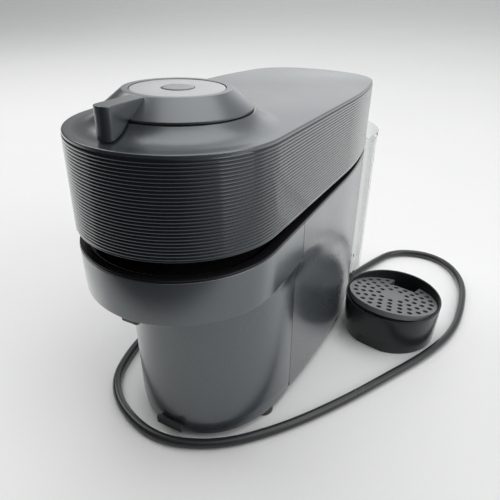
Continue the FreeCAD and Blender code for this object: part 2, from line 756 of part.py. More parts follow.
add("coffee_collector", gutter.cut([hollow, run, drop]))

# Coffee outlet: a square spout from the collector down through the collar's floor
spout = box(-OUTLET_HALF_W, OUTLET_HALF_W, OUTLET_FRONT_Y, OUTLET_BACK_Y, OUTLET_Z, GUTTER_Z)
corners = [e for e in spout.Edges if e.BoundBox.ZLength > OUTLET_WALL * 2]
spout = spout.makeFillet(OUTLET_WALL, corners)
spout = spout.cut(box(-OUTLET_HALF_W + OUTLET_WALL, OUTLET_HALF_W - OUTLET_WALL,
                      OUTLET_FRONT_Y + OUTLET_WALL, OUTLET_BACK_Y - OUTLET_WALL, OUTLET_Z, GUTTER_Z))
add("coffee_outlet", spout)

# Chassis frame: bulkhead behind the column, a shelf for the motor and two legs
bulkhead_y = rear_front_y
frame = box(-CHASSIS_HALF_W, CHASSIS_HALF_W, bulkhead_y, bulkhead_y + CHASSIS_T, BASE_Z, CHASSIS_TOP_Z)
frame = frame.fuse(box(-SHELF_FRAME_HALF_W, SHELF_FRAME_HALF_W, bulkhead_y, SHELF_FRAME_END_Y,
                       SHELF_Z, shelf_top))
for side in (-1, 1):
    x = side * (SHELF_FRAME_HALF_W - LEG_W / 2)
    frame = frame.fuse(box(x - LEG_W / 2, x + LEG_W / 2, SHELF_FRAME_END_Y - LEG_W, SHELF_FRAME_END_Y,
                           BASE_Z, SHELF_Z))
add("chassis_frame", frame.removeSplitter())

# Boiler standing on the base under the motor shelf
boiler = rod(BOILER_R, BASE_Z, BASE_Z + BOILER_H, 0, BOILER_Y)
boiler = boiler.makeFillet(BOILER_R / 6, edges_at(boiler, BASE_Z + BOILER_H))
add("boiler", boiler)

# Water pump on two rubber mounts, and the flow meter on its stem
pump_z = BASE_Z + MOUNT_H
pump = box(PUMP_X - PUMP_W / 2, PUMP_X + PUMP_W / 2, PUMP_Y - PUMP_L / 2, PUMP_Y + PUMP_L / 2,
           pump_z, pump_z + PUMP_H)
pump = pump.makeFillet(PUMP_W / 8, [e for e in pump.Edges if e.BoundBox.YLength > PUMP_L / 2])
add("water_pump", pump)
mounts = []
for dy in (-PUMP_L / 3, PUMP_L / 3):
    mounts.append(rod(MOUNT_R, BASE_Z, pump_z, PUMP_X, PUMP_Y + dy))
add("pump_mounts", Part.makeCompound(mounts))
meter = rod(METER_R / 2, BASE_Z, BASE_Z + MOUNT_H, METER_X, METER_Y)
meter = meter.fuse(rod(METER_R, BASE_Z + MOUNT_H, BASE_Z + MOUNT_H + METER_H, METER_X, METER_Y))
add("flow_meter", meter)

# Control board standing on the base along the right wall, with its larger components
board = box(BOARD_X, BOARD_X + BOARD_T, BOARD_Y[0], BOARD_Y[1], BASE_Z, BASE_Z + BOARD_H)
part_l = (BOARD_Y[1] - BOARD_Y[0]) / 6
for i in range(3):
    y = BOARD_Y[0] + (1 + 2 * i - 0.5) * part_l
    board = board.fuse(box(BOARD_X - part_l, BOARD_X, y, y + part_l, BASE_Z + BOARD_H / 3,
                           BASE_Z + BOARD_H / 3 + part_l * (2 - 0.4 * i)))
add("control_board", board)

# Spigot on the tank shelf: nozzle back into the tank's valve, tail through the casing's rear
spigot = box(-SPIGOT_HALF_W, SPIGOT_HALF_W, SPIGOT_Y - SPIGOT_HALF_W, SPIGOT_Y + SPIGOT_HALF_W,
             BASE_Z, SPIGOT_Z + NOZZLE_R)
nozzle_end_y = POCKET_END_Y + NOZZLE_L
spigot = spigot.fuse(long_rod(NOZZLE_R, SPIGOT_Y, nozzle_end_y, SPIGOT_Z))
spigot = spigot.fuse(long_rod(HOSE_R, tail_y, SPIGOT_Y, SPIGOT_Z)).removeSplitter()
add("tank_spigot", spigot)

# Hoses from the spigot to the pump, the pump to the boiler, and the boiler up to the hinge
meter_mid = BASE_Z + MOUNT_H + METER_H / 2
pump_back = PUMP_Y + PUMP_L / 2
pump_front = PUMP_Y - PUMP_L / 2
pump_mid = pump_z + PUMP_H / 2
meter_back = METER_Y + METER_R
hose_turn = (pump_back + tail_y) / 2
add("suction_hose", hose([
    (0, tail_y, SPIGOT_Z), (METER_X / 4, hose_turn + HOSE_R, SPIGOT_Z + HOSE_R),
    (METER_X * 0.8, hose_turn - HOSE_R, meter_mid - HOSE_R), (METER_X, meter_back, meter_mid),
], (spigot, meter)))
boiler_back = BOILER_Y + BOILER_R
boiler_mid = BASE_Z + BOILER_H / 2
hose_mid_y = (boiler_back + pump_front) / 2
add("pressure_hose", hose([
    (PUMP_X, pump_front, pump_mid), (PUMP_X * 0.9, hose_mid_y + HOSE_R * 3, pump_mid + HOSE_R),
    (PUMP_X * 0.2, hose_mid_y - HOSE_R * 3, boiler_mid - HOSE_R), (0, boiler_back, boiler_mid),
], (pump, boiler)))
riser_x = -(SHELF_FRAME_HALF_W + HOSE_R * 3)
add("boiler_hose", hose([
    (-BOILER_R, BOILER_Y, boiler_mid), (riser_x, BOILER_Y + HOSE_R, boiler_mid + HOSE_R * 2),
    (riser_x - HOSE_R, BOILER_Y + BOILER_R, SHELF_Z), (riser_x, PUMP_Y, SHELF_Z + BOILER_H / 2),
    (riser_x / 2, HINGE_Y - KNUCKLE_R * 4, DECK_TOP_Z - DECK_T - HOSE_R * 2),
], (boiler,)))

# Hinge block with two ears on the deck, and the pin across them
ear_low = DECK_TOP_Z
block = box(-EAR_X[1], EAR_X[1], HINGE_Y - KNUCKLE_R, HINGE_Y + KNUCKLE_R, ear_low, ear_low + HINGE_BLOCK_H)
for side in (-1, 1):
    x0 = min(side * EAR_X[0], side * EAR_X[1])
    x1 = max(side * EAR_X[0], side * EAR_X[1])
    block = block.fuse(box(x0, x1, HINGE_Y - KNUCKLE_R, HINGE_Y + KNUCKLE_R, ear_low, HINGE_Z))
    block = block.fuse(cross_rod(KNUCKLE_R, x0, x1, HINGE_Y, HINGE_Z))
pin_half = EAR_X[1] + ARM_GAP + ARM_W + ARM_GAP
block = block.removeSplitter().cut(cross_rod(PIN_R, -pin_half, pin_half, HINGE_Y, HINGE_Z))
add("hinge_block", block)
add("hinge_pin", cross_rod(PIN_R, -pin_half, pin_half, HINGE_Y, HINGE_Z))

# Water tank: crescent body hugging the casing's rear, bead at the rim, pocket for the spigot
def tank_form(inset, z0, z1):
    """Round rear, sides forward to the casing's corner, front cut by the casing's plan."""
    r = TANK_R - inset
    front_y = REAR_Y - TANK_REACH
    form = prism([
        arc((0, TANK_Y), r, 0, 180),
        line(V(-r, TANK_Y, 0), V(-r, front_y, 0)),
        line(V(-r, front_y, 0), V(r, front_y, 0)),
        line(V(r, front_y, 0), V(r, TANK_Y, 0)),
    ], z0, z1)
    wings = [e for e in form.Edges if e.BoundBox.YMax < front_y + FIT and e.BoundBox.ZLength > FIT]
    form = form.makeFillet(TANK_WING_R - inset, wings)
    return form.cut(prism(plan_edges(-TANK_GAP - inset), z0, z1))


bead_z = TANK_TOP_Z - TANK_BEAD_H
tank = tank_form(TANK_BEAD, TANK_Z, bead_z).fuse(tank_form(0, bead_z, TANK_TOP_Z)).removeSplitter()
pocket = box(-POCKET_HALF_W, POCKET_HALF_W, REAR_Y, POCKET_END_Y, TANK_Z, POCKET_TOP_Z)
pocket_wall = box(-POCKET_HALF_W - TANK_WALL, POCKET_HALF_W + TANK_WALL, REAR_Y, POCKET_END_Y + TANK_WALL,
                  TANK_Z, POCKET_TOP_Z + TANK_WALL)
cavity = tank_form(TANK_BEAD + TANK_WALL, TANK_Z + TANK_WALL, TANK_TOP_Z).cut(pocket_wall)
pocket_back_y = POCKET_END_Y + TANK_WALL
tank = tank.cut([pocket, cavity, long_rod(VALVE_R, POCKET_END_Y, pocket_back_y, SPIGOT_Z)])
add("water_tank", tank)
valve_end_y = POCKET_END_Y + VALVE_L
valve = long_rod(VALVE_R, POCKET_END_Y, valve_end_y, SPIGOT_Z)
valve = valve.fuse(long_rod(VALVE_R + VALVE_LIP, pocket_back_y, valve_end_y, SPIGOT_Z))
valve = valve.cut(long_rod(NOZZLE_R + RUN, POCKET_END_Y, nozzle_end_y + RUN, SPIGOT_Z))
add("tank_valve", valve.removeSplitter())

# Capsule bin: open-topped column in front, with the hook that holds the drip tray
bin_z = BASE_Z + RUN
bin_body = prism(column_edges(0, front_back_y), bin_z, BIN_TOP_Z)
bin_body = bin_body.makeFillet(BIN_EDGE_R, edges_at(bin_body, bin_z))
bin_body = bin_body.cut(prism(column_edges(BIN_WALL, front_back_y - BIN_WALL), bin_z + BIN_FLOOR, BIN_TOP_Z))
add("capsule_bin", bin_body)
hook_back_y = NOSE_FRONT_Y + BIN_EDGE_R
hook_z = BASE_Z + HOOK_RISE
hook = box(-HOOK_HALF_W, HOOK_HALF_W, NOSE_FRONT_Y - HOOK_OUT, hook_back_y, hook_z, hook_z + HOOK_H)
hook = hook.cut(box(-HOOK_HALF_W, HOOK_HALF_W, NOSE_FRONT_Y - HOOK_IN, hook_back_y,
                    hook_z + HOOK_OUT, hook_z + HOOK_H))
hook_pieces = hook.cut(bin_body).Solids
add("tray_hook", max(hook_pieces, key=lambda piece: piece.Volume))

# Drip tray: slightly tapered pan with a flat at its foot for the hook
tray = Part.makeCone(TRAY_FOOT_R, TRAY_TOP_R, TRAY_H, V(TRAY_X, TRAY_Y, 0))
tray = tray.makeFillet(TRAY_WALL / 2, edges_at(tray, 0))
facet_out = polar((TRAY_X, TRAY_Y), TRAY_FACET + TRAY_TOP_R / 2, TRAY_FACET_ANGLE)
facet = Part.makeBox(TRAY_TOP_R, TRAY_TOP_R, TRAY_FACET_H, V(-TRAY_TOP_R / 2, -TRAY_TOP_R / 2, 0))
facet.rotate(V(0, 0, 0), Z_AXIS, TRAY_FACET_ANGLE)
facet.translate(facet_out)
tray_inner = Part.makeCone(TRAY_FOOT_R - 2 * TRAY_WALL, TRAY_TOP_R - TRAY_WALL, TRAY_H - TRAY_WALL,
                           V(TRAY_X, TRAY_Y, TRAY_WALL))
add("drip_tray", tray.cut([facet, tray_inner]))

# Drip grid: pierced disc with a short skirt and a finger notch, lying tipped in the tray
grid = rod(GRID_R, -GRID_SKIRT, 0).cut(rod(GRID_R - GRID_SKIRT_T, -GRID_SKIRT, -GRID_T))
holes = []
for ring in range(GRID_RING_COUNT):
    ring_r = GRID_R - GRID_RING_IN - ring * GRID_RING_STEP
    count = int(2 * math.pi * ring_r / GRID_HOLE_PITCH)
    for i in range(count):
        at = polar((0, 0), ring_r, 360 * i / count)
        holes.append(rod(GRID_HOLE_R, -GRID_T, 0, at.x, at.y))
notch = box(-GRID_NOTCH_HALF_W, GRID_NOTCH_HALF_W, GRID_R - GRID_NOTCH_DEPTH, GRID_R, -GRID_SKIRT, 0)
grid = grid.cut(holes + [notch])
grid.rotate(V(0, 0, 0), X_AXIS, -GRID_TILT)
grid.rotate(V(0, 0, 0), Z_AXIS, GRID_TURN)
grid.translate(V(TRAY_X, TRAY_Y, GRID_Z))
add("drip_grid", grid)

# Head cover: the tall band round the head, its rear foot rounded to clear the casing in the swing
# and open behind the hinge's ears
cover = prism(plan_edges(0), HEAD_Z, PLATE_Z)
cover = cover.cut(prism(plan_edges(WALL), HEAD_Z, PLATE_Z))
swing_r = HINGE_Z - CASE_TOP_Z - RUN
swing_waste = box(-HEAD_R, HEAD_R, HINGE_Y, REAR_Y + WALL, HEAD_Z - WALL, HINGE_Z)
swing_waste = swing_waste.cut(cross_rod(swing_r, -HEAD_R, HEAD_R, HINGE_Y, HINGE_Z))
hinge_way = box(-EAR_X[1] - ARM_GAP, EAR_X[1] + ARM_GAP, HINGE_NOTCH_Y, REAR_Y + WALL,
                HEAD_Z, HINGE_Z + PIN_R)
add_head("head_cover", cover.cut([swing_waste, hinge_way]))

# Head underside: black plate over the deck, open for the injector and the hinge
under_z = HEAD_Z + UNDER_GAP
under_inset = WALL + SEAT
under = prism(plan_edges(under_inset), under_z, under_z + UNDER_T)
under = under.cut([
    rod(UNDER_HOLE_R, under_z, under_z + UNDER_T),
    swing_waste,
    hinge_way,
])
add_head("head_underside", under)

# Head bridge: inner plate that carries the bearing, the dial post and the hinge arms
bridge_top = BRIDGE_Z + BRIDGE_T
bridge = prism(plan_edges(WALL + FIT), BRIDGE_Z, bridge_top)
sleeve_in = LOCK_R - SLEEVE_WALL


def sector(inner, outer, z0, z1, start, sweep):
    """Part of a ring between two angles."""
    wedge = prism([
        line(V(0, 0, 0), polar((0, 0), outer, start)),
        arc((0, 0), outer, start, start + sweep),
        line(polar((0, 0), outer, start + sweep), V(0, 0, 0)),
    ], z0, z1)
    return wedge.cut(rod(inner, z0, z1))


# The lever turns clockwise from its rest, so each slot runs on that way from its leg
slot_sweep = LEVER_RANGE + SLEEVE_LEG_ANGLE + 2 * SLOT_SLACK
slots = []
for i in range(LUG_COUNT):
    slot_start = 360 * i / LUG_COUNT - LEVER_RANGE - SLOT_SLACK
    slots.append(sector(sleeve_in - RUN * 2, LOCK_R + RUN * 2, BRIDGE_Z, bridge_top,
                        slot_start, slot_sweep))
add_head("head_bridge", bridge.cut(slots + [rod(BEARING_BORE + RUN, BRIDGE_Z, bridge_top)]))

# Posts between the underside and the bridge
posts = []
for post_y in POST_Y:
    post = rod(POST_R, under_z + UNDER_T, BRIDGE_Z, POST_X, post_y)
    posts.append(post)
    posts.append(mirrored(post))
add_head("head_posts", Part.makeCompound(posts))

# Hinge arms hang from the bridge to the pin
arm_x = EAR_X[1] + ARM_GAP
arm = box(arm_x, arm_x + ARM_W, HINGE_Y - KNUCKLE_R, HINGE_Y + KNUCKLE_R, HINGE_Z, BRIDGE_Z)
arm = arm.fuse(cross_rod(KNUCKLE_R, arm_x, arm_x + ARM_W, HINGE_Y, HINGE_Z))
arm = arm.common(prism(plan_edges(WALL + FIT), HINGE_Z - KNUCKLE_R, BRIDGE_Z))
arm = arm.cut(cross_rod(PIN_R + FIT, arm_x, arm_x + ARM_W, HINGE_Y, HINGE_Z))
add_head("hinge_arms", both_sides(arm))

# Top plate: thin lid with an eased edge and a flare rising to the lever ring
flare_run = FLARE_FOOT_R - FLARE_TOP_R
flare_arc_r = (flare_run ** 2 + FLARE_H ** 2) / (2 * FLARE_H)
plate = prism(plan_edges(SEAT * 3), PLATE_Z, PLATE_TOP_Z)
plate = plate.makeFillet(PLATE_T / 3, edges_at(plate, PLATE_TOP_Z))
lip = prism(plan_edges(WALL + FIT), PLATE_Z - PLATE_T, PLATE_Z)
lip = lip.cut(prism(plan_edges(WALL * 2), PLATE_Z - PLATE_T, PLATE_Z))


def flare_point(angle):
    """Point of the flare's hollow profile, by its angle from straight down."""
    a = math.radians(angle)
    return V(FLARE_FOOT_R - flare_arc_r * math.sin(a), 0, PLATE_TOP_Z + flare_arc_r * (1 - math.cos(a)))


flare_sweep = math.degrees(math.asin(flare_run / flare_arc_r))
flare_edges = [
    Part.Arc(flare_point(0), flare_point(flare_sweep / 2), flare_point(flare_sweep)).toShape(),
    line(flare_point(flare_sweep), V(FLARE_BORE_R, 0, FLARE_TOP_Z)),
    line(V(FLARE_BORE_R, 0, FLARE_TOP_Z), V(FLARE_BORE_R, 0, PLATE_Z)),
    line(V(FLARE_BORE_R, 0, PLATE_Z), V(FLARE_FOOT_R, 0, PLATE_Z)),
    line(V(FLARE_FOOT_R, 0, PLATE_Z), flare_point(0)),
]
flare = Part.Face(Part.Wire(flare_edges)).revolve(V(0, 0, 0), Z_AXIS, 360)
plate = plate.fuse([flare, lip]).cut(rod(FLARE_BORE_R, PLATE_Z, FLARE_TOP_Z))
add_head("top_plate", plate)

# Dial post on the bridge, with the ledge for the button's board and the flange for the disc
disc_top = RING_TOP_Z - DISC_DROP
disc_z = disc_top - DISC_T
post_in = DIAL_POST_R - DIAL_POST_WALL
flange_hole_r = BUTTON_R + BUTTON_LIP + FIT * 3
switch_top = disc_z - BUTTON_LIP - STEM_L - PRESS_TRAVEL - SEAT
board_z = switch_top - SWITCH_W / 2 - BOARD_T
dial_post = pipe(DIAL_POST_R, post_in, bridge_top, disc_z)
dial_post = dial_post.fuse(pipe(DIAL_FLANGE_R, flange_hole_r, disc_z - DIAL_POST_WALL, disc_z))
dial_post = dial_post.fuse(pipe(post_in, post_in - LEDGE_W, board_z - LEDGE_W, board_z))
add_head("dial_post", dial_post.removeSplitter())
button_board = rod(post_in - FIT, board_z, board_z + BOARD_T)
button_board = button_board.fuse(box(-SWITCH_W / 2, SWITCH_W / 2, -SWITCH_W / 2, SWITCH_W / 2,
                                     board_z, switch_top))
add_head("button_board", button_board.removeSplitter())
disc = pipe(DISC_R, BUTTON_HOLE_R, disc_z, disc_top)
add_head("dial_disc", disc)

# Brew button: lipped cap in the disc with a short stem over its switch
button = rod(BUTTON_R, disc_z, disc_top + BUTTON_PROUD)
button = button.makeFillet(BUTTON_PROUD, edges_at(button, disc_top + BUTTON_PROUD))
button = button.fuse(rod(BUTTON_R + BUTTON_LIP, disc_z - BUTTON_LIP, disc_z - FIT))
button = button.fuse(rod(BUTTON_R, disc_z - BUTTON_LIP, disc_z))
button = button.fuse(rod(STEM_R, disc_z - BUTTON_LIP - STEM_L, disc_z))
add_head("brew_button", button.removeSplitter())

# Lever ring: conical knob ring round the disc, its skirt in the flare's bore
cone_low = RING_Z + RING_EDGE_H
ring = turned([
    (RING_SKIRT_R, RING_SKIRT_Z), (RING_SKIRT_R, RING_Z), (RING_FOOT_R, RING_Z), (RING_FOOT_R, cone_low),
    (RING_TOP_R + RING_EASE, RING_TOP_Z - RING_EASE * 0.8), (RING_TOP_R, RING_TOP_Z),
    (RING_BORE_R, RING_TOP_Z), (RING_BORE_R, RING_TOP_Z - RING_WALL),
    (RING_TOP_R - RING_WALL, RING_TOP_Z - RING_WALL * 1.6), (RING_SKIRT_R - RING_WALL, RING_Z),
    (RING_SKIRT_R - RING_WALL, RING_SKIRT_Z),
])

# Lever handle: a bar let into the ring, flat on top, its underside following the flare
lever_low_z = cone_low
under_arc_r = flare_arc_r - LEVER_CLEAR
under_c = (FLARE_FOOT_R, PLATE_TOP_Z + flare_arc_r)


def under_height(radius):
    return under_c[1] - math.sqrt(under_arc_r ** 2 - (under_c[0] - radius) ** 2)


def side_point(radius, height):
    return V(0, -radius, height)


meet_r = under_c[0] - math.sqrt(under_arc_r ** 2 - (under_c[1] - lever_low_z) ** 2)
mid_r = (meet_r + LEVER_TIP_R) / 2
tip_top = RING_TOP_Z - LEVER_TIP_DROP
lever_edges = [
    line(side_point(LEVER_INNER_R, RING_TOP_Z), side_point(LEVER_TIP_R, tip_top)),
    line(side_point(LEVER_TIP_R, tip_top), side_point(LEVER_TIP_R, under_height(LEVER_TIP_R))),
    Part.Arc(side_point(LEVER_TIP_R, under_height(LEVER_TIP_R)), side_point(mid_r, under_height(mid_r)),
             side_point(meet_r, lever_low_z)).toShape(),
    line(side_point(meet_r, lever_low_z), side_point(LEVER_INNER_R, lever_low_z)),
    line(side_point(LEVER_INNER_R, lever_low_z), side_point(LEVER_INNER_R, RING_TOP_Z)),
]
handle = Part.Face(Part.Wire(lever_edges)).extrude(V(2 * LEVER_HALF_W, 0, 0))
handle.translate(V(-LEVER_HALF_W, 0, 0))
tip_edges = []
for edge in handle.Edges:
    bounds = edge.BoundBox
    if bounds.ZLength > RING_WALL and bounds.YMax < -LEVER_TIP_R + FIT and bounds.XLength < FIT:
        tip_edges.append(edge)
handle = handle.makeFillet(LEVER_HALF_W * 0.8, tip_edges)
slot_cut = box(-LEVER_HALF_W - FIT, LEVER_HALF_W + FIT, -RING_FOOT_R - 1, -LEVER_INNER_R + FIT,
               lever_low_z - FIT, RING_TOP_Z)
handle.rotate(V(0, 0, 0), Z_AXIS, LEVER_TURN)
slot_cut.rotate(V(0, 0, 0), Z_AXIS, LEVER_TURN)
add_head("lever_ring", ring.cut(slot_cut))
add_head("lever_handle", handle)

# Lock sleeve below the ring: legs through the bridge's slots down to the lock ring
sleeve = pipe(LOCK_R, sleeve_in, bridge_top + RING_GAP, RING_SKIRT_Z + RING_WALL)
lock_top = LOCK_Z + LOCK_T
for i in range(LUG_COUNT):
    sleeve = sleeve.fuse(sector(sleeve_in, LOCK_R, lock_top, bridge_top + RING_GAP,
                                360 * i / LUG_COUNT, SLEEVE_LEG_ANGLE))
add_head("lock_sleeve", sleeve.removeSplitter())
add_head("lock_ring", pipe(LOCK_R, sleeve_in - LOCK_LIP, LOCK_Z, lock_top))

# Injector: bearing under the bridge, spinning plate with its needles, and the rim seal
bearing_z = BRIDGE_Z - BEARING_H
add_head("injector_bearing", pipe(BEARING_R, BEARING_BORE, bearing_z, BRIDGE_Z))
plate_top = INJECTOR_Z + INJECTOR_T
injector = rod(INJECTOR_R, INJECTOR_Z, plate_top)
injector = injector.fuse(rod(BEARING_BORE - FIT, plate_top, BRIDGE_Z + BRIDGE_T))
needles = [rod(NEEDLE_R * 2, INJECTOR_Z - NEEDLE_L, INJECTOR_Z)]
for i in range(NEEDLE_COUNT):
    at = polar((0, 0), NEEDLE_RING_R - NEEDLE_R, 360 * i / NEEDLE_COUNT)
    needles.append(rod(NEEDLE_R, INJECTOR_Z - NEEDLE_L, INJECTOR_Z, at.x, at.y))
add_head("injector_plate", injector.fuse(needles).removeSplitter())
add_head("injector_seal", pipe(INJECTOR_R, SEAL_IN_R, INJECTOR_Z - SEAL_T, INJECTOR_Z))

# Code reader by the capsule's rim, and the head's water hose along the bridge
reader_z = under_z + UNDER_T
add_head("code_reader", box(-READER[0] / 2, READER[0] / 2, READER_Y - READER[1] / 2, READER_Y + READER[1] / 2,
                            reader_z, reader_z + READER[2]))
hose_z = bridge_top + HOSE_R + FIT
add_head("head_hose", hose([
    (riser_x / 2, HINGE_Y - KNUCKLE_R * 4, hose_z), (riser_x / 2 - HOSE_R, SIDE_END_Y, hose_z),
    (riser_x / 3, SIDE_END_Y / 2, hose_z), (0, LOCK_R + HOSE_R, hose_z),
]))

# Mains cord: strain relief at the gland, the lead on the floor and its three-pin plug
grommet = Part.makeCone(GROMMET_ROOT_R, GROMMET_TIP_R, GROMMET_L + GROMMET_ROOT_R,
                        grommet_root - grommet_along * GROMMET_ROOT_R, grommet_along)
grommet = grommet.common(box(0, HEAD_R * 2, GLAND_Y[1], REAR_Y + HEAD_R, 0, FOOT_H * 2))
add("cord_grommet", grommet)
cord_points = [(grommet_tip.x, grommet_tip.y, grommet_tip.z)]
cord_points += [(x, y, FLOOR_Z) for x, y in CORD_ROUTE]
cord_points.append(CORD_END)
radii = []
cord = swept(cord_points, CORD_R, radii)
add("mains_cord", cord)
cord_length = route_wire(cord_points).Length
print("cord length", round(cord_length, 1), "volume ratio",
      round(cord.Volume / (math.pi * CORD_R ** 2 * cord_length), 4))
print("cord radii in diameters", [round(r / (2 * CORD_R), 1) for r in radii])

# Plug: tapered neck, moulded body lying on the floor, two blades and a round earth pin
plug_run = V(*CORD_END) - V(*cord_points[-2])
plug_run.normalize()
plug_neck = Part.makeCone(CORD_R + FIT * 4, PLUG_NECK_R, PLUG_NECK_L, V(*CORD_END), plug_run)
neck_end = V(*CORD_END) + plug_run * PLUG_NECK_L
body_y = neck_end.y - PLUG_NECK_R / 2
plug_z = PLUG_H / 2 + PLUG_LIFT
plug_body = box(neck_end.x - PLUG_W / 2, neck_end.x + PLUG_W / 2, body_y, body_y + PLUG_L,
                plug_z - PLUG_H / 2, plug_z + PLUG_H / 2)
long_edges = [e for e in plug_body.Edges if e.BoundBox.YLength > PLUG_L / 2]
plug_body = plug_body.makeFillet(PLUG_H / 4, long_edges)
plug = plug_neck.fuse(plug_body)
pin_y = body_y + PLUG_L
for side in (-1, 1):
    x = neck_end.x + side * BLADE_SPACING / 2
    plug = plug.fuse(box(x - BLADE_T / 2, x + BLADE_T / 2, pin_y, pin_y + BLADE_L,
                         plug_z, plug_z + BLADE_W))
earth = Part.makeCylinder(EARTH_R, BLADE_L, V(neck_end.x, pin_y, plug_z + BLADE_W / 2 - EARTH_DROP), Y_AXIS)
add("mains_plug", plug.fuse(earth).removeSplitter())

# Swing the head's pieces up to the popped-open rest and write every piece out
os.makedirs("parts", exist_ok=True)
for name, shape in shapes.items():
    if name in head_nodes:
        shape.rotate(V(0, HINGE_Y, HINGE_Z), X_AXIS, -POP_ANGLE)
    if not shape.isValid():
        print("not valid:", name)
    shape.exportStep("parts/" + name + ".step")
print(len(shapes), "pieces")
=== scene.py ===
import math

import bmesh
import bpy
import numpy as np
from mathutils import Matrix, Vector


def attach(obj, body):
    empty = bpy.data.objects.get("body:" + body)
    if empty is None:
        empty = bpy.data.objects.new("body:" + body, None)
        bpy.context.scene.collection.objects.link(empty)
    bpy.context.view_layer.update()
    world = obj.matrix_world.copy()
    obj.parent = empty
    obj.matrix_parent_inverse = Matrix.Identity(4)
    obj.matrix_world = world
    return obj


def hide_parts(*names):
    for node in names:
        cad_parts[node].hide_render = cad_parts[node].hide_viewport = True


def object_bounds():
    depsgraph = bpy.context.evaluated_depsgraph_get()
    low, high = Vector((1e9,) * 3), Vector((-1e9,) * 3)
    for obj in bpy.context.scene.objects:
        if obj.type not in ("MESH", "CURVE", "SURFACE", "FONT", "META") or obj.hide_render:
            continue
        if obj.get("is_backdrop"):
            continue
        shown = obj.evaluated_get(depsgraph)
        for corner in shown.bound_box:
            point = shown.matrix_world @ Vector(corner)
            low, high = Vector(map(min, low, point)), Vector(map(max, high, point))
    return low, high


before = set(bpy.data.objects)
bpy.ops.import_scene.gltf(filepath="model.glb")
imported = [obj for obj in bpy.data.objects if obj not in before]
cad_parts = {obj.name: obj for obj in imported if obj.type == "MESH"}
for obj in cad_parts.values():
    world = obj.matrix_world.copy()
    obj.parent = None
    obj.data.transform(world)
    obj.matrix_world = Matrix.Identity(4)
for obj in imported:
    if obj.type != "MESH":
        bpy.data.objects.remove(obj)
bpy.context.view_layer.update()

scene = bpy.context.scene
scene.view_settings.view_transform = "Standard"

# Camera
# It stands a little to the right of the spout and looks down on the machine. The long side of
# the frame is 500 pixels, on which the focal length is 490.7 pixels.
CAMERA_PLACE = (0.17575, -0.2367, 0.31846)
VIEW_TURN = math.radians(28.148)
VIEW_DOWN = math.radians(30.265)
VIEW_ROLL = math.radians(0.103)
FOCAL_PIXELS = 490.7
FRAME_PIXELS = 500
lens = bpy.data.cameras.new("view")
lens.sensor_width = 36
lens.lens = lens.sensor_width * FOCAL_PIXELS / FRAME_PIXELS
lens.clip_start = 0.01
camera = bpy.data.objects.new("view", lens)
scene.collection.objects.link(camera)
turn = Matrix.Rotation(VIEW_TURN, 4, "Z")
down = Matrix.Rotation(math.pi / 2 - VIEW_DOWN, 4, "X")
roll = Matrix.Rotation(VIEW_ROLL, 4, "Z")
camera.matrix_world = Matrix.Translation(CAMERA_PLACE) @ turn @ down @ roll
scene.camera = camera

# Floor
# A wide matt white sheet, faintly uneven in tone, which the camera sees white everywhere. What the machine
# mirrors of it, and the light it bounces, is painted dark in front, where the room is dark, and in
# reflections it has a painted glow behind and on both sides.
MM = 0.001
FLOOR_HALF = 9000.0
CLOUD_SCALE = 3.0
SHEET_DARK = (0.82, 0.825, 0.815, 1)
SHEET_PALE = (0.86, 0.86, 0.85, 1)
SHEET_PAINTED_DARK = (0.06, 0.06, 0.065, 1)
FRONT_WAY = (-0.1, 1, 0)
DIM_FROM = -0.17
DIM_OVER = 0.15
PAINTED_MIRRORED_GLOW = 0.55
GLOW_FROM = 0.03
GLOW_FULL = 0.16
GLOW_WAY = (-0.6, 1, 0)
GLOW_EDGE = 0.08


def put_mesh(name, points, faces):
    """A mesh object at the origin from points in millimetres."""
    mesh = bpy.data.meshes.new(name)
    mesh.from_pydata((np.asarray(points) * MM).tolist(), [], faces)
    thing = bpy.data.objects.new(name, mesh)
    scene.collection.objects.link(thing)
    return thing


def new_material(name, **values):
    """A material with one Principled shader, its steady values set on the shader's own sockets."""
    material = bpy.data.materials.new(name)
    material.use_nodes = True
    shader = material.node_tree.nodes["Principled BSDF"]
    for socket, value in values.items():
        shader.inputs[socket.replace("_", " ")].default_value = value
    return material, material.node_tree, shader


def feed(tree, value, socket):
    """Puts a steady value on a socket, or links another node's output to it."""
    if isinstance(value, bpy.types.NodeSocket):
        tree.links.new(value, socket)
    else:
        socket.default_value = value


def combined(tree, operation, *values, clamp=False):
    """The result of a sum, product or other operation on values, each a number or an output."""
    node = tree.nodes.new("ShaderNodeMath")
    node.operation = operation
    node.use_clamp = clamp
    for value, socket in zip(values, node.inputs):
        feed(tree, value, socket)
    return node.outputs["Value"]


def along(tree, place, direction):
    """How far a place lies along a direction: their dot product."""
    node = tree.nodes.new("ShaderNodeVectorMath")
    node.operation = "DOT_PRODUCT"
    node.inputs[1].default_value = direction
    tree.links.new(place, node.inputs[0])
    return node.outputs["Value"]


def ranged(tree, source, start, end, low=0.0, high=1.0, eased=False):
    """A value that goes from low to high as the source goes from start to end, eased at both ends or not."""
    node = tree.nodes.new("ShaderNodeMapRange")
    node.interpolation_type = "SMOOTHSTEP" if eased else "LINEAR"
    for socket, value in (("From Min", start), ("From Max", end), ("To Min", low), ("To Max", high)):
        node.inputs[socket].default_value = value
    tree.links.new(source, node.inputs["Value"])
    return node.outputs["Result"]


def mixed(tree, factor, first, second, kind="RGBA"):
    """Two colours, or two values, mixed by a factor: the first at 0, the second at 1."""
    node = tree.nodes.new("ShaderNodeMix")
    node.data_type = kind
    for value, socket in ((factor, "Factor"), (first, "A"), (second, "B")):
        feed(tree, value, node.inputs[socket])
    return node.outputs["Result"]


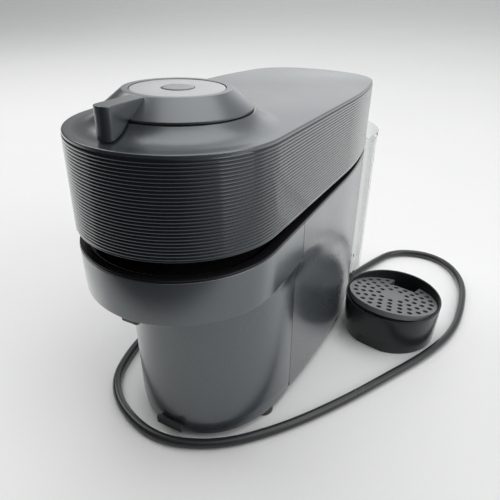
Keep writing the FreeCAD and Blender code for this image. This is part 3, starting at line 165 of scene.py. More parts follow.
corner = FLOOR_HALF * np.array([[-1, -1, 0], [1, -1, 0], [1, 1, 0], [-1, 1, 0]])
floor = put_mesh("floor", corner, [[0, 1, 2, 3]])
floor_white, tree, shader = new_material("worktop_white", Roughness=0.6, Specular_IOR_Level=0.25)
place = tree.nodes.new("ShaderNodeTexCoord").outputs["Object"]
ray = tree.nodes.new("ShaderNodeLightPath").outputs
cloud = tree.nodes.new("ShaderNodeTexNoise")
cloud.inputs["Scale"].default_value = CLOUD_SCALE
tree.links.new(place, cloud.inputs["Vector"])
sheet = mixed(tree, cloud.outputs["Fac"], SHEET_DARK, SHEET_PALE)
# Painted reflection: for all rays but the camera's, the floor's colour is painted dark in front of the
# machine, standing in for a dim room.
clear_of_dim = ranged(tree, along(tree, place, FRONT_WAY), DIM_FROM - DIM_OVER, DIM_FROM, eased=True)
seen_white = combined(tree, "MAXIMUM", clear_of_dim, ray["Is Camera Ray"])
tree.links.new(mixed(tree, seen_white, SHEET_PAINTED_DARK, sheet), shader.inputs["Base Color"])
apart = tree.nodes.new("ShaderNodeSeparateXYZ")
tree.links.new(place, apart.inputs["Vector"])
aside = combined(tree, "ABSOLUTE", apart.outputs["X"])
# Painted glow: in glossy reflections the floor emits light behind and beside the machine, though it is no
# lamp.
beside = ranged(tree, aside, GLOW_FROM, GLOW_FULL, high=PAINTED_MIRRORED_GLOW)
behind = ranged(tree, along(tree, place, GLOW_WAY), -GLOW_EDGE, GLOW_EDGE, eased=True)
mirrored = combined(tree, "SUBTRACT", ray["Is Glossy Ray"], ray["Is Transmission Ray"], clamp=True)
glow = combined(tree, "MULTIPLY", combined(tree, "MULTIPLY", behind, mirrored), beside)
tree.links.new(glow, shader.inputs["Emission Strength"])
floor.data.materials.append(floor_white)
floor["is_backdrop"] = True

# Light
# A white room that is dim behind the camera, with a bright window high behind the machine that its top
# surfaces mirror. The camera itself sees the room evenly pale. Soft boxes stand overhead and on each side.
ROOM_COLOUR = (0.98, 0.99, 1, 1)
BRIGHT_WAY = (0.6, 0.75, 0.3)
BRIGHT_FROM = -0.3
BRIGHT_FULL = 0.6
SKY_FRONT = 0.05
SKY_BACK = 0.75
WINDOW_WAY = (-0.32, 0.88, 0.34)
WINDOW_FROM = 0.86
WINDOW_FULL = 0.98
WINDOW = 0.75
PALE = 0.7
SOFT_BOXES = (
    ("overhead", (0.2, 0.5, 2.5), (0.1, 0.4, 0), 2.4, 2.4, 30),
    ("left", (-1.4, 0.2, 1.4), (-0.2, 0.1, 0.05), 1.0, 1.0, 9),
    ("right", (1.6, 0.1, 1.1), (0.2, 0.1, 0.05), 1.2, 1.0, 8),
)


def soft_box(name, at, aim, width, height, watts):
    """A rectangular lamp at a place in metres, turned to face a point."""
    lamp = bpy.data.lights.new(name, "AREA")
    lamp.shape = "RECTANGLE"
    lamp.size = width
    lamp.size_y = height
    lamp.energy = watts
    stand = bpy.data.objects.new(name, lamp)
    scene.collection.objects.link(stand)
    away = Vector(at) - Vector(aim)
    stand.matrix_world = Matrix.Translation(at) @ away.to_track_quat("Z", "Y").to_matrix().to_4x4()


world = bpy.data.worlds.new("room")
scene.world = world
world.use_nodes = True
tree = world.node_tree
room = tree.nodes["Background"]
room.inputs["Color"].default_value = ROOM_COLOUR
way = tree.nodes.new("ShaderNodeTexCoord").outputs["Generated"]
ray = tree.nodes.new("ShaderNodeLightPath").outputs
sky = ranged(tree, along(tree, way, BRIGHT_WAY), BRIGHT_FROM, BRIGHT_FULL, SKY_FRONT, SKY_BACK, eased=True)
window = ranged(tree, along(tree, way, WINDOW_WAY), WINDOW_FROM, WINDOW_FULL, high=WINDOW, eased=True)
lit_room = combined(tree, "ADD", sky, window)
tree.links.new(mixed(tree, ray["Is Camera Ray"], lit_room, PALE, kind="FLOAT"), room.inputs["Strength"])
for box in SOFT_BOXES:
    soft_box(*box)

# Mains cord
# A round lead in satin dark grey PVC. It leaves the rear right foot of the casing, lies loose
# round the drip tray and the front of the machine, and ends in its plug on the left.
CORD_R = 3.8
RELIEF_ROOT = np.array([47.0, 219.0, 4.8])
RELIEF_TIP = np.array([53.56, 240.0, 4.54])
PLUG_START = np.array([-93.0, 186.0, 8.0])
ON_FLOOR = 4.0
NOISE_LOW = 0.3
NOISE_HIGH = 0.7
RARE = 0.72
BUMP_HEIGHT = 0.0002
DUST = (0.5, 0.5, 0.48, 1)
CORD_WAY = (
    (67, 283), (83, 320), (119, 334), (150, 322), (171, 286), (176, 236), (174, 193), (160, 151),
    (133, 101), (105, 51), (73, 4), (36, -34), (-13, -51), (-73, -26), (-91, 27), (-90, 84), (-93, 136),
)


def grain_group():
    """Shader group for moulded surfaces: fine grain as a height, a slow cloud and rare specks as masks."""
    group = bpy.data.node_groups.new("moulded_grain", "ShaderNodeTree")
    face = group.interface
    scales = (("Grain Scale", 1500.0), ("Cloud Scale", 12.0), ("Speck Scale", 90.0), ("Speck Size", 0.04))
    for name, value in scales:
        face.new_socket(name, in_out="INPUT", socket_type="NodeSocketFloat").default_value = value
    for name in ("Height", "Cloud", "Specks"):
        face.new_socket(name, in_out="OUTPUT", socket_type="NodeSocketFloat")
    given = group.nodes.new("NodeGroupInput").outputs
    result = group.nodes.new("NodeGroupOutput").inputs
    place = group.nodes.new("ShaderNodeTexCoord").outputs["Object"]
    grain = group.nodes.new("ShaderNodeTexNoise")
    grain.inputs["Detail"].default_value = 3.0
    cloud = group.nodes.new("ShaderNodeTexNoise")
    cloud.inputs["Detail"].default_value = 4.0
    cells = group.nodes.new("ShaderNodeTexVoronoi")
    for texture, scale in ((grain, "Grain Scale"), (cloud, "Cloud Scale"), (cells, "Speck Scale")):
        group.links.new(place, texture.inputs["Vector"])
        group.links.new(given[scale], texture.inputs["Scale"])
    split = group.nodes.new("ShaderNodeSeparateColor")
    group.links.new(cells.outputs["Color"], split.inputs["Color"])
    near = combined(group, "LESS_THAN", cells.outputs["Distance"], given["Speck Size"])
    rare = combined(group, "GREATER_THAN", split.outputs["Red"], RARE)
    group.links.new(grain.outputs["Fac"], result["Height"])
    group.links.new(cloud.outputs["Fac"], result["Cloud"])
    group.links.new(combined(group, "MULTIPLY", near, rare), result["Specks"])
    return group


moulded_grain = grain_group()


def mapped(tree, source, low, high):
    """A value that goes from low to high over the range in which a noise mostly lies."""
    return ranged(tree, source, NOISE_LOW, NOISE_HIGH, low, high)


def scaled(colour, share):
    """A colour made darker or lighter, with full alpha."""
    return (*[channel * share for channel in colour], 1)


def bumped(tree, shader, height, strength):
    """Gives a shader a slight relief from a height."""
    raised = tree.nodes.new("ShaderNodeBump")
    raised.inputs["Strength"].default_value = strength
    raised.inputs["Distance"].default_value = BUMP_HEIGHT
    tree.links.new(height, raised.inputs["Height"])
    tree.links.new(raised.outputs["Normal"], shader.inputs["Normal"])


def plastic(name, colour, roughness, uneven=0.06, drift=0.12, grain=1500.0, bump=0.06, specks=0.0, **values):
    """Moulded plastic: tone and gloss drift with a slow cloud, the grain is a bump, specks are pale dust."""
    material, tree, shader = new_material(name, **values)
    marks = tree.nodes.new("ShaderNodeGroup")
    marks.node_tree = moulded_grain
    marks.inputs["Grain Scale"].default_value = grain
    marks.inputs["Speck Size"].default_value = specks
    cloud = marks.outputs["Cloud"]
    tone = mixed(tree, cloud, scaled(colour, 1 - drift), scaled(colour, 1 + drift))
    tree.links.new(mixed(tree, marks.outputs["Specks"], tone, DUST), shader.inputs["Base Color"])
    gloss = mapped(tree, cloud, roughness - uneven, roughness + uneven)
    tree.links.new(gloss, shader.inputs["Roughness"])
    bumped(tree, shader, marks.outputs["Height"], bump)
    return material


cord_black = plastic("cord_pvc", (0.02, 0.021, 0.023), 0.3, grain=900.0, bump=0.12)
lead_curve = bpy.data.curves.new("mains_lead", "CURVE")
lead_curve.dimensions = "3D"
lead_curve.resolution_u = 10
lead_curve.bevel_depth = CORD_R * MM
lead_curve.bevel_resolution = 5
lead_curve.use_fill_caps = True
lead_points = [RELIEF_TIP, *[(x, y, ON_FLOOR) for x, y in CORD_WAY], PLUG_START]
run = lead_curve.splines.new("NURBS")
run.points.add(len(lead_points) - 1)
run.points.foreach_set("co", [c for p in lead_points for c in (*np.multiply(p, MM), 1)])
run.order_u = 3
run.use_endpoint_u = True
run.use_smooth = True
lead = bpy.data.objects.new("mains_lead", lead_curve)
scene.collection.objects.link(lead)
lead_curve.materials.append(cord_black)
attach(lead, "root")
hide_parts("mains_cord")

# Strain relief
# A soft tapered sleeve of the same plastic as the lead, moulded on it where it leaves the base, with
# grooves round it.
GROOVES = 5
GROOVE_DEPTH = 0.7
GROOVED_FROM = 0.12
GROOVED_TO = 0.93
SLEEVE_ROOT_R = 4.6
SLEEVE_TAPER = 0.5
MERGE_WITHIN = 2e-6


def quads(rows, columns, wrap_rows, wrap_columns):
    """Corner numbers of the faces between the points of a grid, joined up end to start where it wraps."""
    row = np.arange(rows if wrap_rows else rows - 1)[:, None]
    column = np.arange(columns if wrap_columns else columns - 1)[None, :]
    next_row, next_column = (row + 1) % rows, (column + 1) % columns
    corners = (row * columns + column, row * columns + next_column,
               next_row * columns + next_column, next_row * columns + column)
    return np.stack(np.broadcast_arrays(*corners), axis=-1).reshape(-1, 4)


def build(name, *grids, material=None, body="root", stands_for=(), finish=None, sharp=30.0):
    """One piece from grids of points in millimetres, each given as (points, wrap rows, wrap columns, flat
    ends). Shared points are merged, faces turned outward, and edges sharper than the angle stay sharp."""
    points, faces, start = [], [], 0
    for grid, wrap_rows, wrap_columns, flat_ends in grids:
        rows, columns = grid.shape[:2]
        faces += (quads(rows, columns, wrap_rows, wrap_columns) + start).tolist()
        if flat_ends:
            last = start + (rows - 1) * columns
            faces += [list(range(start, start + columns)), list(range(last, last + columns))]
        points.append(grid.reshape(-1, 3))
        start += rows * columns
    piece = put_mesh(name, np.concatenate(points), faces)
    shell = bmesh.new()
    shell.from_mesh(piece.data)
    bmesh.ops.remove_doubles(shell, verts=shell.verts, dist=MERGE_WITHIN)
    bmesh.ops.recalc_face_normals(shell, faces=shell.faces)
    shell.to_mesh(piece.data)
    shell.free()
    piece.data.shade_smooth()
    piece.data.set_sharp_from_angle(angle=math.radians(sharp))
    piece.data.materials.append(material)
    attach(piece, body)
    if stands_for:
        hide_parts(*stands_for)
    return piece


def tube_along(start, end, radius, around=32):
    """A round sleeve: rings of the given radii spaced evenly from start to end, square to that line."""
    axis = (end - start) / np.linalg.norm(end - start)
    side = np.cross(axis, [0, 0, 1.0])
    side /= np.linalg.norm(side)
    rise = np.cross(side, axis)
    angle = np.linspace(0, 2 * np.pi, around, endpoint=False)
    ring = np.cos(angle)[:, None] * side + np.sin(angle)[:, None] * rise
    middle = start + np.linspace(0, 1, len(radius))[:, None] * (end - start)
    return middle[:, None] + np.asarray(radius)[:, None, None] * ring[None]


t = np.linspace(0, 1, 81)
wave = np.clip(np.sin(2 * np.pi * GROOVES * t - np.pi / 2), 0, 1) ** 0.5
groove = wave * GROOVE_DEPTH * (t > GROOVED_FROM) * (t < GROOVED_TO)
sleeve = tube_along(RELIEF_ROOT, RELIEF_TIP, SLEEVE_ROOT_R - SLEEVE_TAPER * t - groove)
build("strain_relief", (sleeve, False, True, True), material=cord_black, stands_for=["cord_grommet"],
      finish="cord_black")

# Plug
# A grip of the same plastic, moulded on the end of the lead and lying on its flat side. Two flat blades and
# a round earth pin of brass are set in it. Its sections are (along, half width, half height, squareness).
PLUG_SECTIONS = np.array([
    (0, 0, 0, 2), (0, 4.2, 4.2, 2), (6, 4.7, 4.7, 2), (12, 5.2, 5.2, 2), (14.3, 5.8, 5.6, 2.3),
    (16.3, 9.2, 7.4, 3), (20.3, 12.0, 8.6, 3.6), (27.3, 12.6, 8.8, 4), (37.3, 12.2, 8.4, 4),
    (44.8, 13.5, 9.0, 4.5), (46.5, 13.3, 8.8, 4.5), (47.3, 12.6, 8.2, 4.5), (47.3, 0, 0, 4.5),
])
PLUG_HALF_H = 9.0
PLUG_LIFT = 0.2
PLUG_LEVEL = 20.3
PLUG_FRONT = 47.3
PIN_LET_IN = 0.5
BLADE_APART = 12.7
BLADE_T = 1.5
BLADE_W = 6.3
BLADE_L = 17.0
EARTH_R = 2.4
EARTH_LOW = 8.0
LINE_TONE = 0.86


def section_along(y, half_width, half_height, centre, squareness, around=48):
    """Upright sections along Y, each a superellipse of its own half width, half height and squareness."""
    angle = np.linspace(0, 2 * np.pi, around, endpoint=False)
    power = 2 / np.asarray(squareness)[:, None]
    x = np.sign(np.cos(angle)) * np.abs(np.cos(angle)) ** power * np.asarray(half_width)[:, None]
    z = np.sign(np.sin(angle)) * np.abs(np.sin(angle)) ** power * np.asarray(half_height)[:, None]
    depth = np.broadcast_to(np.asarray(y)[:, None], x.shape)
    return np.stack([x + centre[0], depth, z + np.asarray(centre[1])[:, None]], axis=-1)


def metal(name, colour, roughness, uneven=0.08, scale=400.0, stretch=(1.0, 1.0, 0.06), bump=0.05):
    """Bare metal: fine lines drawn out along one way, as its gloss and a slight relief."""
    material, tree, shader = new_material(name, Metallic=1.0)
    place = tree.nodes.new("ShaderNodeTexCoord").outputs["Object"]
    drawn = tree.nodes.new("ShaderNodeMapping")
    drawn.inputs["Scale"].default_value = stretch
    tree.links.new(place, drawn.inputs["Vector"])
    lines = tree.nodes.new("ShaderNodeTexNoise")
    lines.inputs["Scale"].default_value = scale
    lines.inputs["Detail"].default_value = 3.0
    tree.links.new(drawn.outputs["Vector"], lines.inputs["Vector"])
    mark = lines.outputs["Fac"]
    tone = mixed(tree, mark, scaled(colour, LINE_TONE), scaled(colour, 1))
    tree.links.new(tone, shader.inputs["Base Color"])
    gloss = mapped(tree, mark, roughness - uneven, roughness + uneven)
    tree.links.new(gloss, shader.inputs["Roughness"])
    bumped(tree, shader, mark, bump)
    return material


def box_grid(centre, half, ease=0.3):
    """A small bar with eased edges: superellipse sections along Y that shrink in at both ends."""
    y = centre[1] + half[1] * np.array([-1, -1, -1 + ease / half[1], 1 - ease / half[1], 1, 1])
    shrink = np.array([0.0, ease, 0, 0, ease, 0.0])
    full = np.array([0.0, 1, 1, 1, 1, 0.0])
    width = (half[0] - shrink) * full
    height = (half[2] - shrink) * full
    return section_along(y, width, height, (centre[0], np.full(6, centre[2])), np.full(6, 8.0))


plug_x, plug_y, plug_z = PLUG_START
mid_z = PLUG_HALF_H + PLUG_LIFT
grip_y, wide, tall, square = PLUG_SECTIONS.T
height = np.interp(grip_y, [0, PLUG_LEVEL], [plug_z, mid_z])
grip = section_along(plug_y + grip_y, wide, tall, (plug_x, height), square)
pin_y = plug_y + PLUG_FRONT + BLADE_L / 2 - PIN_LET_IN
blade_z = mid_z + BLADE_W / 2
blade_half = (BLADE_T / 2, BLADE_L / 2, BLADE_W / 2)
blades = [box_grid((plug_x + side * BLADE_APART / 2, pin_y, blade_z), blade_half) for side in (-1, 1)]
earth_root = np.array([plug_x, pin_y - BLADE_L / 2, blade_z - EARTH_LOW])
earth_end = np.array([plug_x, pin_y + BLADE_L / 2, blade_z - EARTH_LOW])
earth_r = EARTH_R * np.sqrt(1 - np.clip(np.linspace(-7, 0.98, 60), 0, 1) ** 2)
earth_pin = tube_along(earth_root, earth_end, earth_r, around=20)
pins = metal("plug_pin_brass", (0.72, 0.66, 0.5), 0.22)
plug = build("plug_grip", (grip, False, True, False), material=cord_black, stands_for=["mains_plug"],
             finish="cord_black", sharp=40)
plug_pins = build("plug_pins", (earth_pin, False, True, True), *[(b, False, True, False) for b in blades],
                  material=pins, finish="brass")

# Feet and base
# A flat charcoal plate closes the machine from below and runs out under the tank. Four rubber pads are
# pressed into it and four steel screws hold it.
BLUISH = (0.93, 0.98, 1.0, 1)


def finish_nodes(material, *names):
    """Gives CAD pieces that are shown as they are their material."""
    for name in names:
        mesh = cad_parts[name].data
        mesh.materials.clear()
        mesh.materials.append(material)


foot_rubber = plastic("foot_rubber", (0.05, 0.05, 0.052), 0.7, grain=700.0, bump=0.3)
base_black = plastic("base_black", (0.018, 0.018, 0.02), 0.5, grain=900.0, bump=0.2)
steel = metal("zinc_steel", (0.62, 0.63, 0.65), 0.32)
charcoal = plastic("charcoal_satin", (0.041, 0.047, 0.053), 0.26, uneven=0.03, drift=0.06, bump=0.05,
                   specks=0.012, IOR=1.65, Specular_IOR_Level=0.95, Specular_Tint=BLUISH)
finish_nodes(charcoal, "base_plate")
finish_nodes(foot_rubber, "rubber_feet")
finish_nodes(steel, "base_screws")

# Works inside the casing
# A black plastic frame on the base carries the drive motor, the cast boiler, the pump on rubber mounts, the
# flow meter and the control board. Silicone hoses join them.
aluminium = metal("cast_aluminium", (0.7, 0.71, 0.72), 0.4, scale=900.0, stretch=(1.0, 1.0, 1.0), bump=0.12)
brass = metal("turned_brass", (0.78, 0.6, 0.3), 0.28)
pulley_black = plastic("pulley_acetal", (0.02, 0.02, 0.021), 0.42)
circuit_green = plastic("board_green", (0.012, 0.09, 0.04), 0.35, drift=0.3, grain=500.0, bump=0.1)
silicone = plastic("hose_silicone", (0.62, 0.62, 0.58), 0.45, drift=0.05)
moulded_white = plastic("inner_white", (0.55, 0.56, 0.56), 0.45, drift=0.05)
finish_nodes(base_black, "chassis_frame", "motor_bracket", "water_pump")
finish_nodes(steel, "motor_shaft", "drive_motor")
finish_nodes(aluminium, "boiler", "motor_pulley")
finish_nodes(foot_rubber, "pump_mounts", "drive_belt")
finish_nodes(pulley_black, "drum_pulley")
finish_nodes(circuit_green, "control_board")
finish_nodes(silicone, "suction_hose", "pressure_hose", "boiler_hose")
finish_nodes(moulded_white, "flow_meter", "drum_cradle")
finish_nodes(brass, "drum_bearing")

# Rear casing
# One moulded shell in satin charcoal plastic from the seam round the back. Below the collar's height it is
# drawn in towards the front, so the lower machine is narrower there.
HEAD_R = 68.0
SIDE_END_Y = 127.0
SIDE_ARC_R = 400.0
CORNER_R = 45.0
CORNER_C = (15.434, 199.903)
REAR_ARC_R = 85.0
REAR_Y = 248.0
SEAM_FRONT_Y = 43.9
SEAM_REAR_Y = 44.5
LOW_HALF_W = 63.0
WALL = 2.5
BASE_Z = 9.5
COLLAR_Z = 135.5
BLEND_LOW_Z = 118.0
BLEND_HIGH_Z = 138.0
DECK_SEAT_Z = 165.9
SIDE_POINTS = 20


def arc_run(centre, radius, start, end, count):
    """Points spaced along an arc, its last left to the next run, and the directions that face out of it."""
    angle = np.radians(np.linspace(start, end, count, endpoint=False))
    way = np.stack([np.cos(angle), np.sin(angle)], axis=1)
    return np.asarray(centre) + radius * way, way


def straight_run(a, b, count):
    """Points spaced along a straight side, its last left to the next run, and the directions facing out."""
    a, b = np.asarray(a, float), np.asarray(b, float)
    way = (b - a) / np.linalg.norm(b - a)
    points = a + np.linspace(0, 1, count, endpoint=False)[:, None] * (b - a)
    return points, np.tile([way[1], -way[0]], (count, 1))


def joined(*runs):
    """Runs of points and directions put one after another."""
    return tuple(np.concatenate(part) for part in zip(*runs))


def rear_runs(gap=0.0):
    """The rear half of the plan from the right side's end to the left's: side arc, corner, rear, corner, side
    arc. The rear is two runs, which may leave a gap of a half angle between them."""
    side_c, rear_c = (HEAD_R - SIDE_ARC_R, SIDE_END_Y), (0, REAR_Y - REAR_ARC_R)
    side_turn = math.degrees(math.atan2(CORNER_C[1] - side_c[1], CORNER_C[0] - side_c[0]))
    rear_turn = math.degrees(math.atan2(CORNER_C[1] - rear_c[1], CORNER_C[0] - rear_c[0]))
    return [
        arc_run(side_c, SIDE_ARC_R, 0, side_turn, 24),
        arc_run(CORNER_C, CORNER_R, side_turn, rear_turn, 24),
        arc_run(rear_c, REAR_ARC_R, rear_turn, 90 - gap, 14),
        arc_run(rear_c, REAR_ARC_R, 90 + gap, 180 - rear_turn, 14),
        arc_run((-CORNER_C[0], CORNER_C[1]), CORNER_R, 180 - rear_turn, 180 - side_turn, 24),
        arc_run((-side_c[0], SIDE_END_Y), SIDE_ARC_R, 180 - side_turn, 180, 24),
    ]


def rounded(corners, steps=6):
    """A closed outline from (a, b, radius) corners, each swapped for an arc that touches both its sides."""
    corners = np.asarray(corners, float)
    place, radius = corners[:, :2], corners[:, 2]
    arrive = np.roll(place, 1, axis=0) - place
    leave = np.roll(place, -1, axis=0) - place
    arrive /= np.linalg.norm(arrive, axis=1, keepdims=True)
    leave /= np.linalg.norm(leave, axis=1, keepdims=True)
    half = np.arccos(np.clip((arrive * leave).sum(axis=1), -1, 1)) / 2
    middle = arrive + leave
    middle /= np.maximum(np.linalg.norm(middle, axis=1, keepdims=True), 1e-9)
    centre = place + middle * (radius / np.sin(half))[:, None]
    first = place + arrive * (radius / np.tan(half))[:, None] - centre
    last = place + leave * (radius / np.tan(half))[:, None] - centre
    sweep = (np.pi - 2 * half)[:, None, None]
    t = np.linspace(0, 1, steps)[None, :, None]
    safe = np.where(np.sin(sweep) == 0, 1, np.sin(sweep))
    arc = (np.sin((1 - t) * sweep) * first[:, None] + np.sin(t * sweep) * last[:, None]) / safe
    return (centre[:, None] + arc).reshape(-1, 2)


def spaced(profile, longest):
    """The closed profile with points added so that no side of it is longer than the given length."""
    ahead = np.roll(profile, -1, axis=0)
    counts = np.maximum(1, np.ceil(np.linalg.norm(ahead - profile, axis=1) / longest)).astype(int)
    which = np.repeat(np.arange(len(profile)), counts)
    step = np.arange(len(which)) - np.repeat(np.cumsum(counts) - counts, counts)
    return profile[which] + (step / counts[which])[:, None] * (ahead - profile)[which]


def smooth(low, high, value):
    """Goes from 0 to 1 between low and high with a level start and end."""
    t = np.clip((value - low) / (high - low), 0, 1)
    return t * t * (3 - 2 * t)


side_y = np.linspace(SEAM_REAR_Y, SIDE_END_Y, SIDE_POINTS, endpoint=False)
draw_in = (HEAD_R - LOW_HALF_W) * ((SIDE_END_Y - side_y) / (SIDE_END_Y - SEAM_REAR_Y)) ** 2
right = np.stack([np.full(SIDE_POINTS, HEAD_R), side_y], axis=1)
right_out = np.tile([1.0, 0], (SIDE_POINTS, 1))
left = np.concatenate([[[-HEAD_R, SIDE_END_Y]], (right * [-1, 1])[::-1]])
left_out = np.tile([-1.0, 0], (SIDE_POINTS + 1, 1))
plan, outward = joined((right, right_out), *rear_runs(), (left, left_out))
inward = np.zeros(len(plan))
inward[:SIDE_POINTS] = draw_in
inward[-SIDE_POINTS:] = draw_in[::-1]
wall = spaced(rounded([
    (0, BASE_Z, 2), (0, DECK_SEAT_Z, 0.5), (WALL, DECK_SEAT_Z, 0.3), (WALL, BASE_Z, 0.3),
]), 4)
inset = wall[:, :1] + inward[None, :] * (1 - smooth(BLEND_LOW_Z, BLEND_HIGH_Z, wall[:, 1:]))
casing = np.concatenate([
    plan[:, None] - inset.T[:, :, None] * outward[:, None],
    np.broadcast_to(wall[None, :, 1:], (len(plan), len(wall), 1)),
], axis=2)
build("rear_casing", (casing, False, True, True), material=charcoal, stands_for=["rear_shell"],
      finish="charcoal_satin")

# Front collar
# A round wall in the same charcoal plastic, with a crisp lower edge, that closes the front of the casing at
# the seam. Its floor has a round way for the drum.
COLLAR_EDGE = 1.2
FLOOR_T = 2.0
FLOOR_IN = 1.0
FLOOR_LIFT = 0.02
DRUM_WAY_R = 24.0


def carry(plan, outward, profile):
    """A profile of (inset, height) points carried round a plan: rows follow the profile, columns the plan."""
    flat = plan[None] - profile[:, None, :1] * outward[None]
    level = np.broadcast_to(profile[:, None, 1:], flat.shape[:2] + (1,))
    return np.concatenate([flat, level], axis=2)


def drawn_to_circle(plan, radius, share, height):
    """Rows between a plan and a circle round the origin: each point moves its share of the way on its ray."""
    ring = radius * plan / np.linalg.norm(plan, axis=1, keepdims=True)
    flat = plan[None] + np.asarray(share)[:, None, None] * (ring - plan)[None]
    level = np.broadcast_to(np.asarray(height, float)[:, None, None], flat.shape[:2] + (1,))
    return np.concatenate([flat, level], axis=2)


front_arc = arc_run((0, 0), HEAD_R, 180, 360, 96)
collar_runs = [
    straight_run((-HEAD_R, SEAM_FRONT_Y), (-HEAD_R, 0), 10),
    front_arc,
    straight_run((HEAD_R, 0), (HEAD_R, SEAM_FRONT_Y), 10),
]
seam_end = (np.array([[HEAD_R, SEAM_FRONT_Y]]), np.array([[1.0, 0]]))
plan, outward = joined(*collar_runs, seam_end)
wall = rounded([
    (0, COLLAR_Z, COLLAR_EDGE), (0, DECK_SEAT_Z, 0.5), (WALL, DECK_SEAT_Z, 0.3), (WALL, COLLAR_Z, 0.3),
])
collar_wall = carry(plan, outward, wall).transpose(1, 0, 2)
rim, rim_out = joined(*collar_runs, straight_run((HEAD_R, SEAM_FRONT_Y), (-HEAD_R, SEAM_FRONT_Y), 24))
low, high = COLLAR_Z + FLOOR_LIFT, COLLAR_Z + FLOOR_T
floor_rim = rim - FLOOR_IN * rim_out
floor_plate = drawn_to_circle(floor_rim, DRUM_WAY_R, [0, 1, 1, 0], [low, low, high, high])
build("collar", (collar_wall, False, True, True), (floor_plate, True, True, False), material=charcoal,
      stands_for=["front_collar"], finish="charcoal_satin")

# Capsule bin
# The column under the collar is the bin for used capsules: a deep charcoal pan that pulls out to the front,
# flared at the top to meet the collar. A lip at its foot covers the base's rim, and a hook there holds the
# drip tray.
NOSE_R = 56.0
NOSE_Y = 21.0
SIDE_R = 97.95
SIDE_C_Y = 44.2
LEFT_TRIM = 0.2
RIGHT_TRIM = 0.18
BIN_Z = 9.8
BIN_TOP_Z = 135.2
BIN_WALL = 2.2
BIN_FLOOR = 2.5
SKIRT_Z = 6.2
SKIRT_IN = 1.3
FOOT_IN = 0.9
TAPER_IN = 0.5
TAPER_LOW_H = 4.0
TAPER_HIGH_H = 12.0
FLARE_REACH = 6.0
FLARE_GAP = 0.8
side_c = (LOW_HALF_W - SIDE_R, SIDE_C_Y)
meet = math.degrees(math.atan2(NOSE_Y - side_c[1], -side_c[0]))
nose, nose_out = joined(
    arc_run((-side_c[0], side_c[1]), SIDE_R, 180 + LEFT_TRIM, 180 - meet, 24),
    arc_run((0, NOSE_Y), NOSE_R, -180 - meet, meet, 64),
    arc_run(side_c, SIDE_R, meet, -RIGHT_TRIM, 24),
    (np.array([[LOW_HALF_W, SEAM_FRONT_Y]]), np.array([[1.0, 0]])),
)
reach = np.where(nose[:, 1] < 0, np.linalg.norm(nose, axis=1), np.abs(nose[:, 0]))
flare = np.minimum(FLARE_REACH, HEAD_R - FLARE_GAP - reach)
wall = spaced(rounded([
    (SKIRT_IN, BIN_Z, 0), (SKIRT_IN, SKIRT_Z, 0), (FOOT_IN, SKIRT_Z, 0.1),
    (TAPER_IN, SKIRT_Z + TAPER_LOW_H, 8.0), (0, SKIRT_Z + TAPER_HIGH_H, 14.0), (0, BIN_TOP_Z, 0.3),
    (BIN_WALL, BIN_TOP_Z, 0.3), (BIN_WALL, BIN_Z + BIN_FLOOR, 0),
]), 3.0)
rise = np.clip((wall[:, 1] - BLEND_LOW_Z) / (BIN_TOP_Z - BLEND_LOW_Z), 0, 1) ** 2
inset = wall[:, :1] - rise[:, None] * flare[None]
front = nose[None] - inset[:, :, None] * nose_out[None]
back_y = SEAM_FRONT_Y - wall[:, 0]
front[:, :, 1] = np.minimum(front[:, :, 1], back_y[:, None])
across = np.linspace(0, 1, 14)[None, :, None]
back = front[:, -1:] + across * (front[:, :1] - front[:, -1:])
ring = np.concatenate([front, back], axis=1)
level = np.repeat(wall[:, 1:], ring.shape[1], axis=1)
level[:, len(nose):] = np.maximum(level[:, len(nose):], BIN_Z)
column = np.concatenate([ring, level[:, :, None]], axis=2)
build("bin_column", (column, False, True, True), material=charcoal, body="bin", stands_for=["capsule_bin"],
      finish="charcoal_satin")
hook_black = plastic("hook_black", (0.03, 0.031, 0.033), 0.35)
finish_nodes(hook_black, "tray_hook")

# Brew deck
# A moulded gloss black plate across the top of the casing. Its raised rounded border lies on the casing's
# wall and shows as a black line round the machine.
BORDER_INSET = 0.25
BORDER_W = 6.6
BORDER_TOP_Z = 167.5
DECK_TOP_Z = 165.0
DECK_LOW_Z = 162.0
DECK_HOLE_R = 36.0
BORDER_SLOPE = 0.3
BORDER_LAP = 4.0
DECK_LAP = 3.0
SEAT_GAP = 0.1
deck_black = plastic("deck_gloss", (0.012, 0.012, 0.014), 0.12, uneven=0.03, bump=0.02, specks=0.02,
                     Specular_IOR_Level=0.2)
right_side = straight_run((HEAD_R, 0), (HEAD_R, SIDE_END_Y), 16)
left_side = straight_run((-HEAD_R, SIDE_END_Y), (-HEAD_R, 0), 16)
body_plan, body_out = joined(front_arc, right_side, *rear_runs(), left_side)
border = rounded([
    (BORDER_INSET, DECK_SEAT_Z, 0.2), (BORDER_INSET, BORDER_TOP_Z, 0.8), (BORDER_W, BORDER_TOP_Z, 0.5),
    (BORDER_W + BORDER_SLOPE, DECK_TOP_Z, 0.6), (BORDER_W + BORDER_LAP, DECK_TOP_Z, 0.0),
    (BORDER_W + BORDER_LAP, DECK_LOW_Z, 0.0), (WALL + SEAT_GAP, DECK_LOW_Z, 0.0),
    (WALL + SEAT_GAP, DECK_SEAT_Z, 0.0),
])
border_grid = carry(body_plan, body_out, border)
inner = body_plan - (BORDER_W + DECK_LAP) * body_out
deck_level = np.repeat([DECK_TOP_Z, DECK_LOW_Z], 3)
deck_plate = drawn_to_circle(inner, DECK_HOLE_R, [0, 0.5, 1, 1, 0.5, 0], deck_level)
build("deck", (border_grid, True, True, False), (deck_plate, True, True, False), material=deck_black,
      stands_for=["brew_deck"], finish="gloss_black")
finish_nodes(aluminium, "capsule_holder")
finish_nodes(deck_black, "coffee_collector")
outlet_black = plastic("outlet_black", (0.05, 0.052, 0.055), 0.3)
finish_nodes(outlet_black, "coffee_outlet")

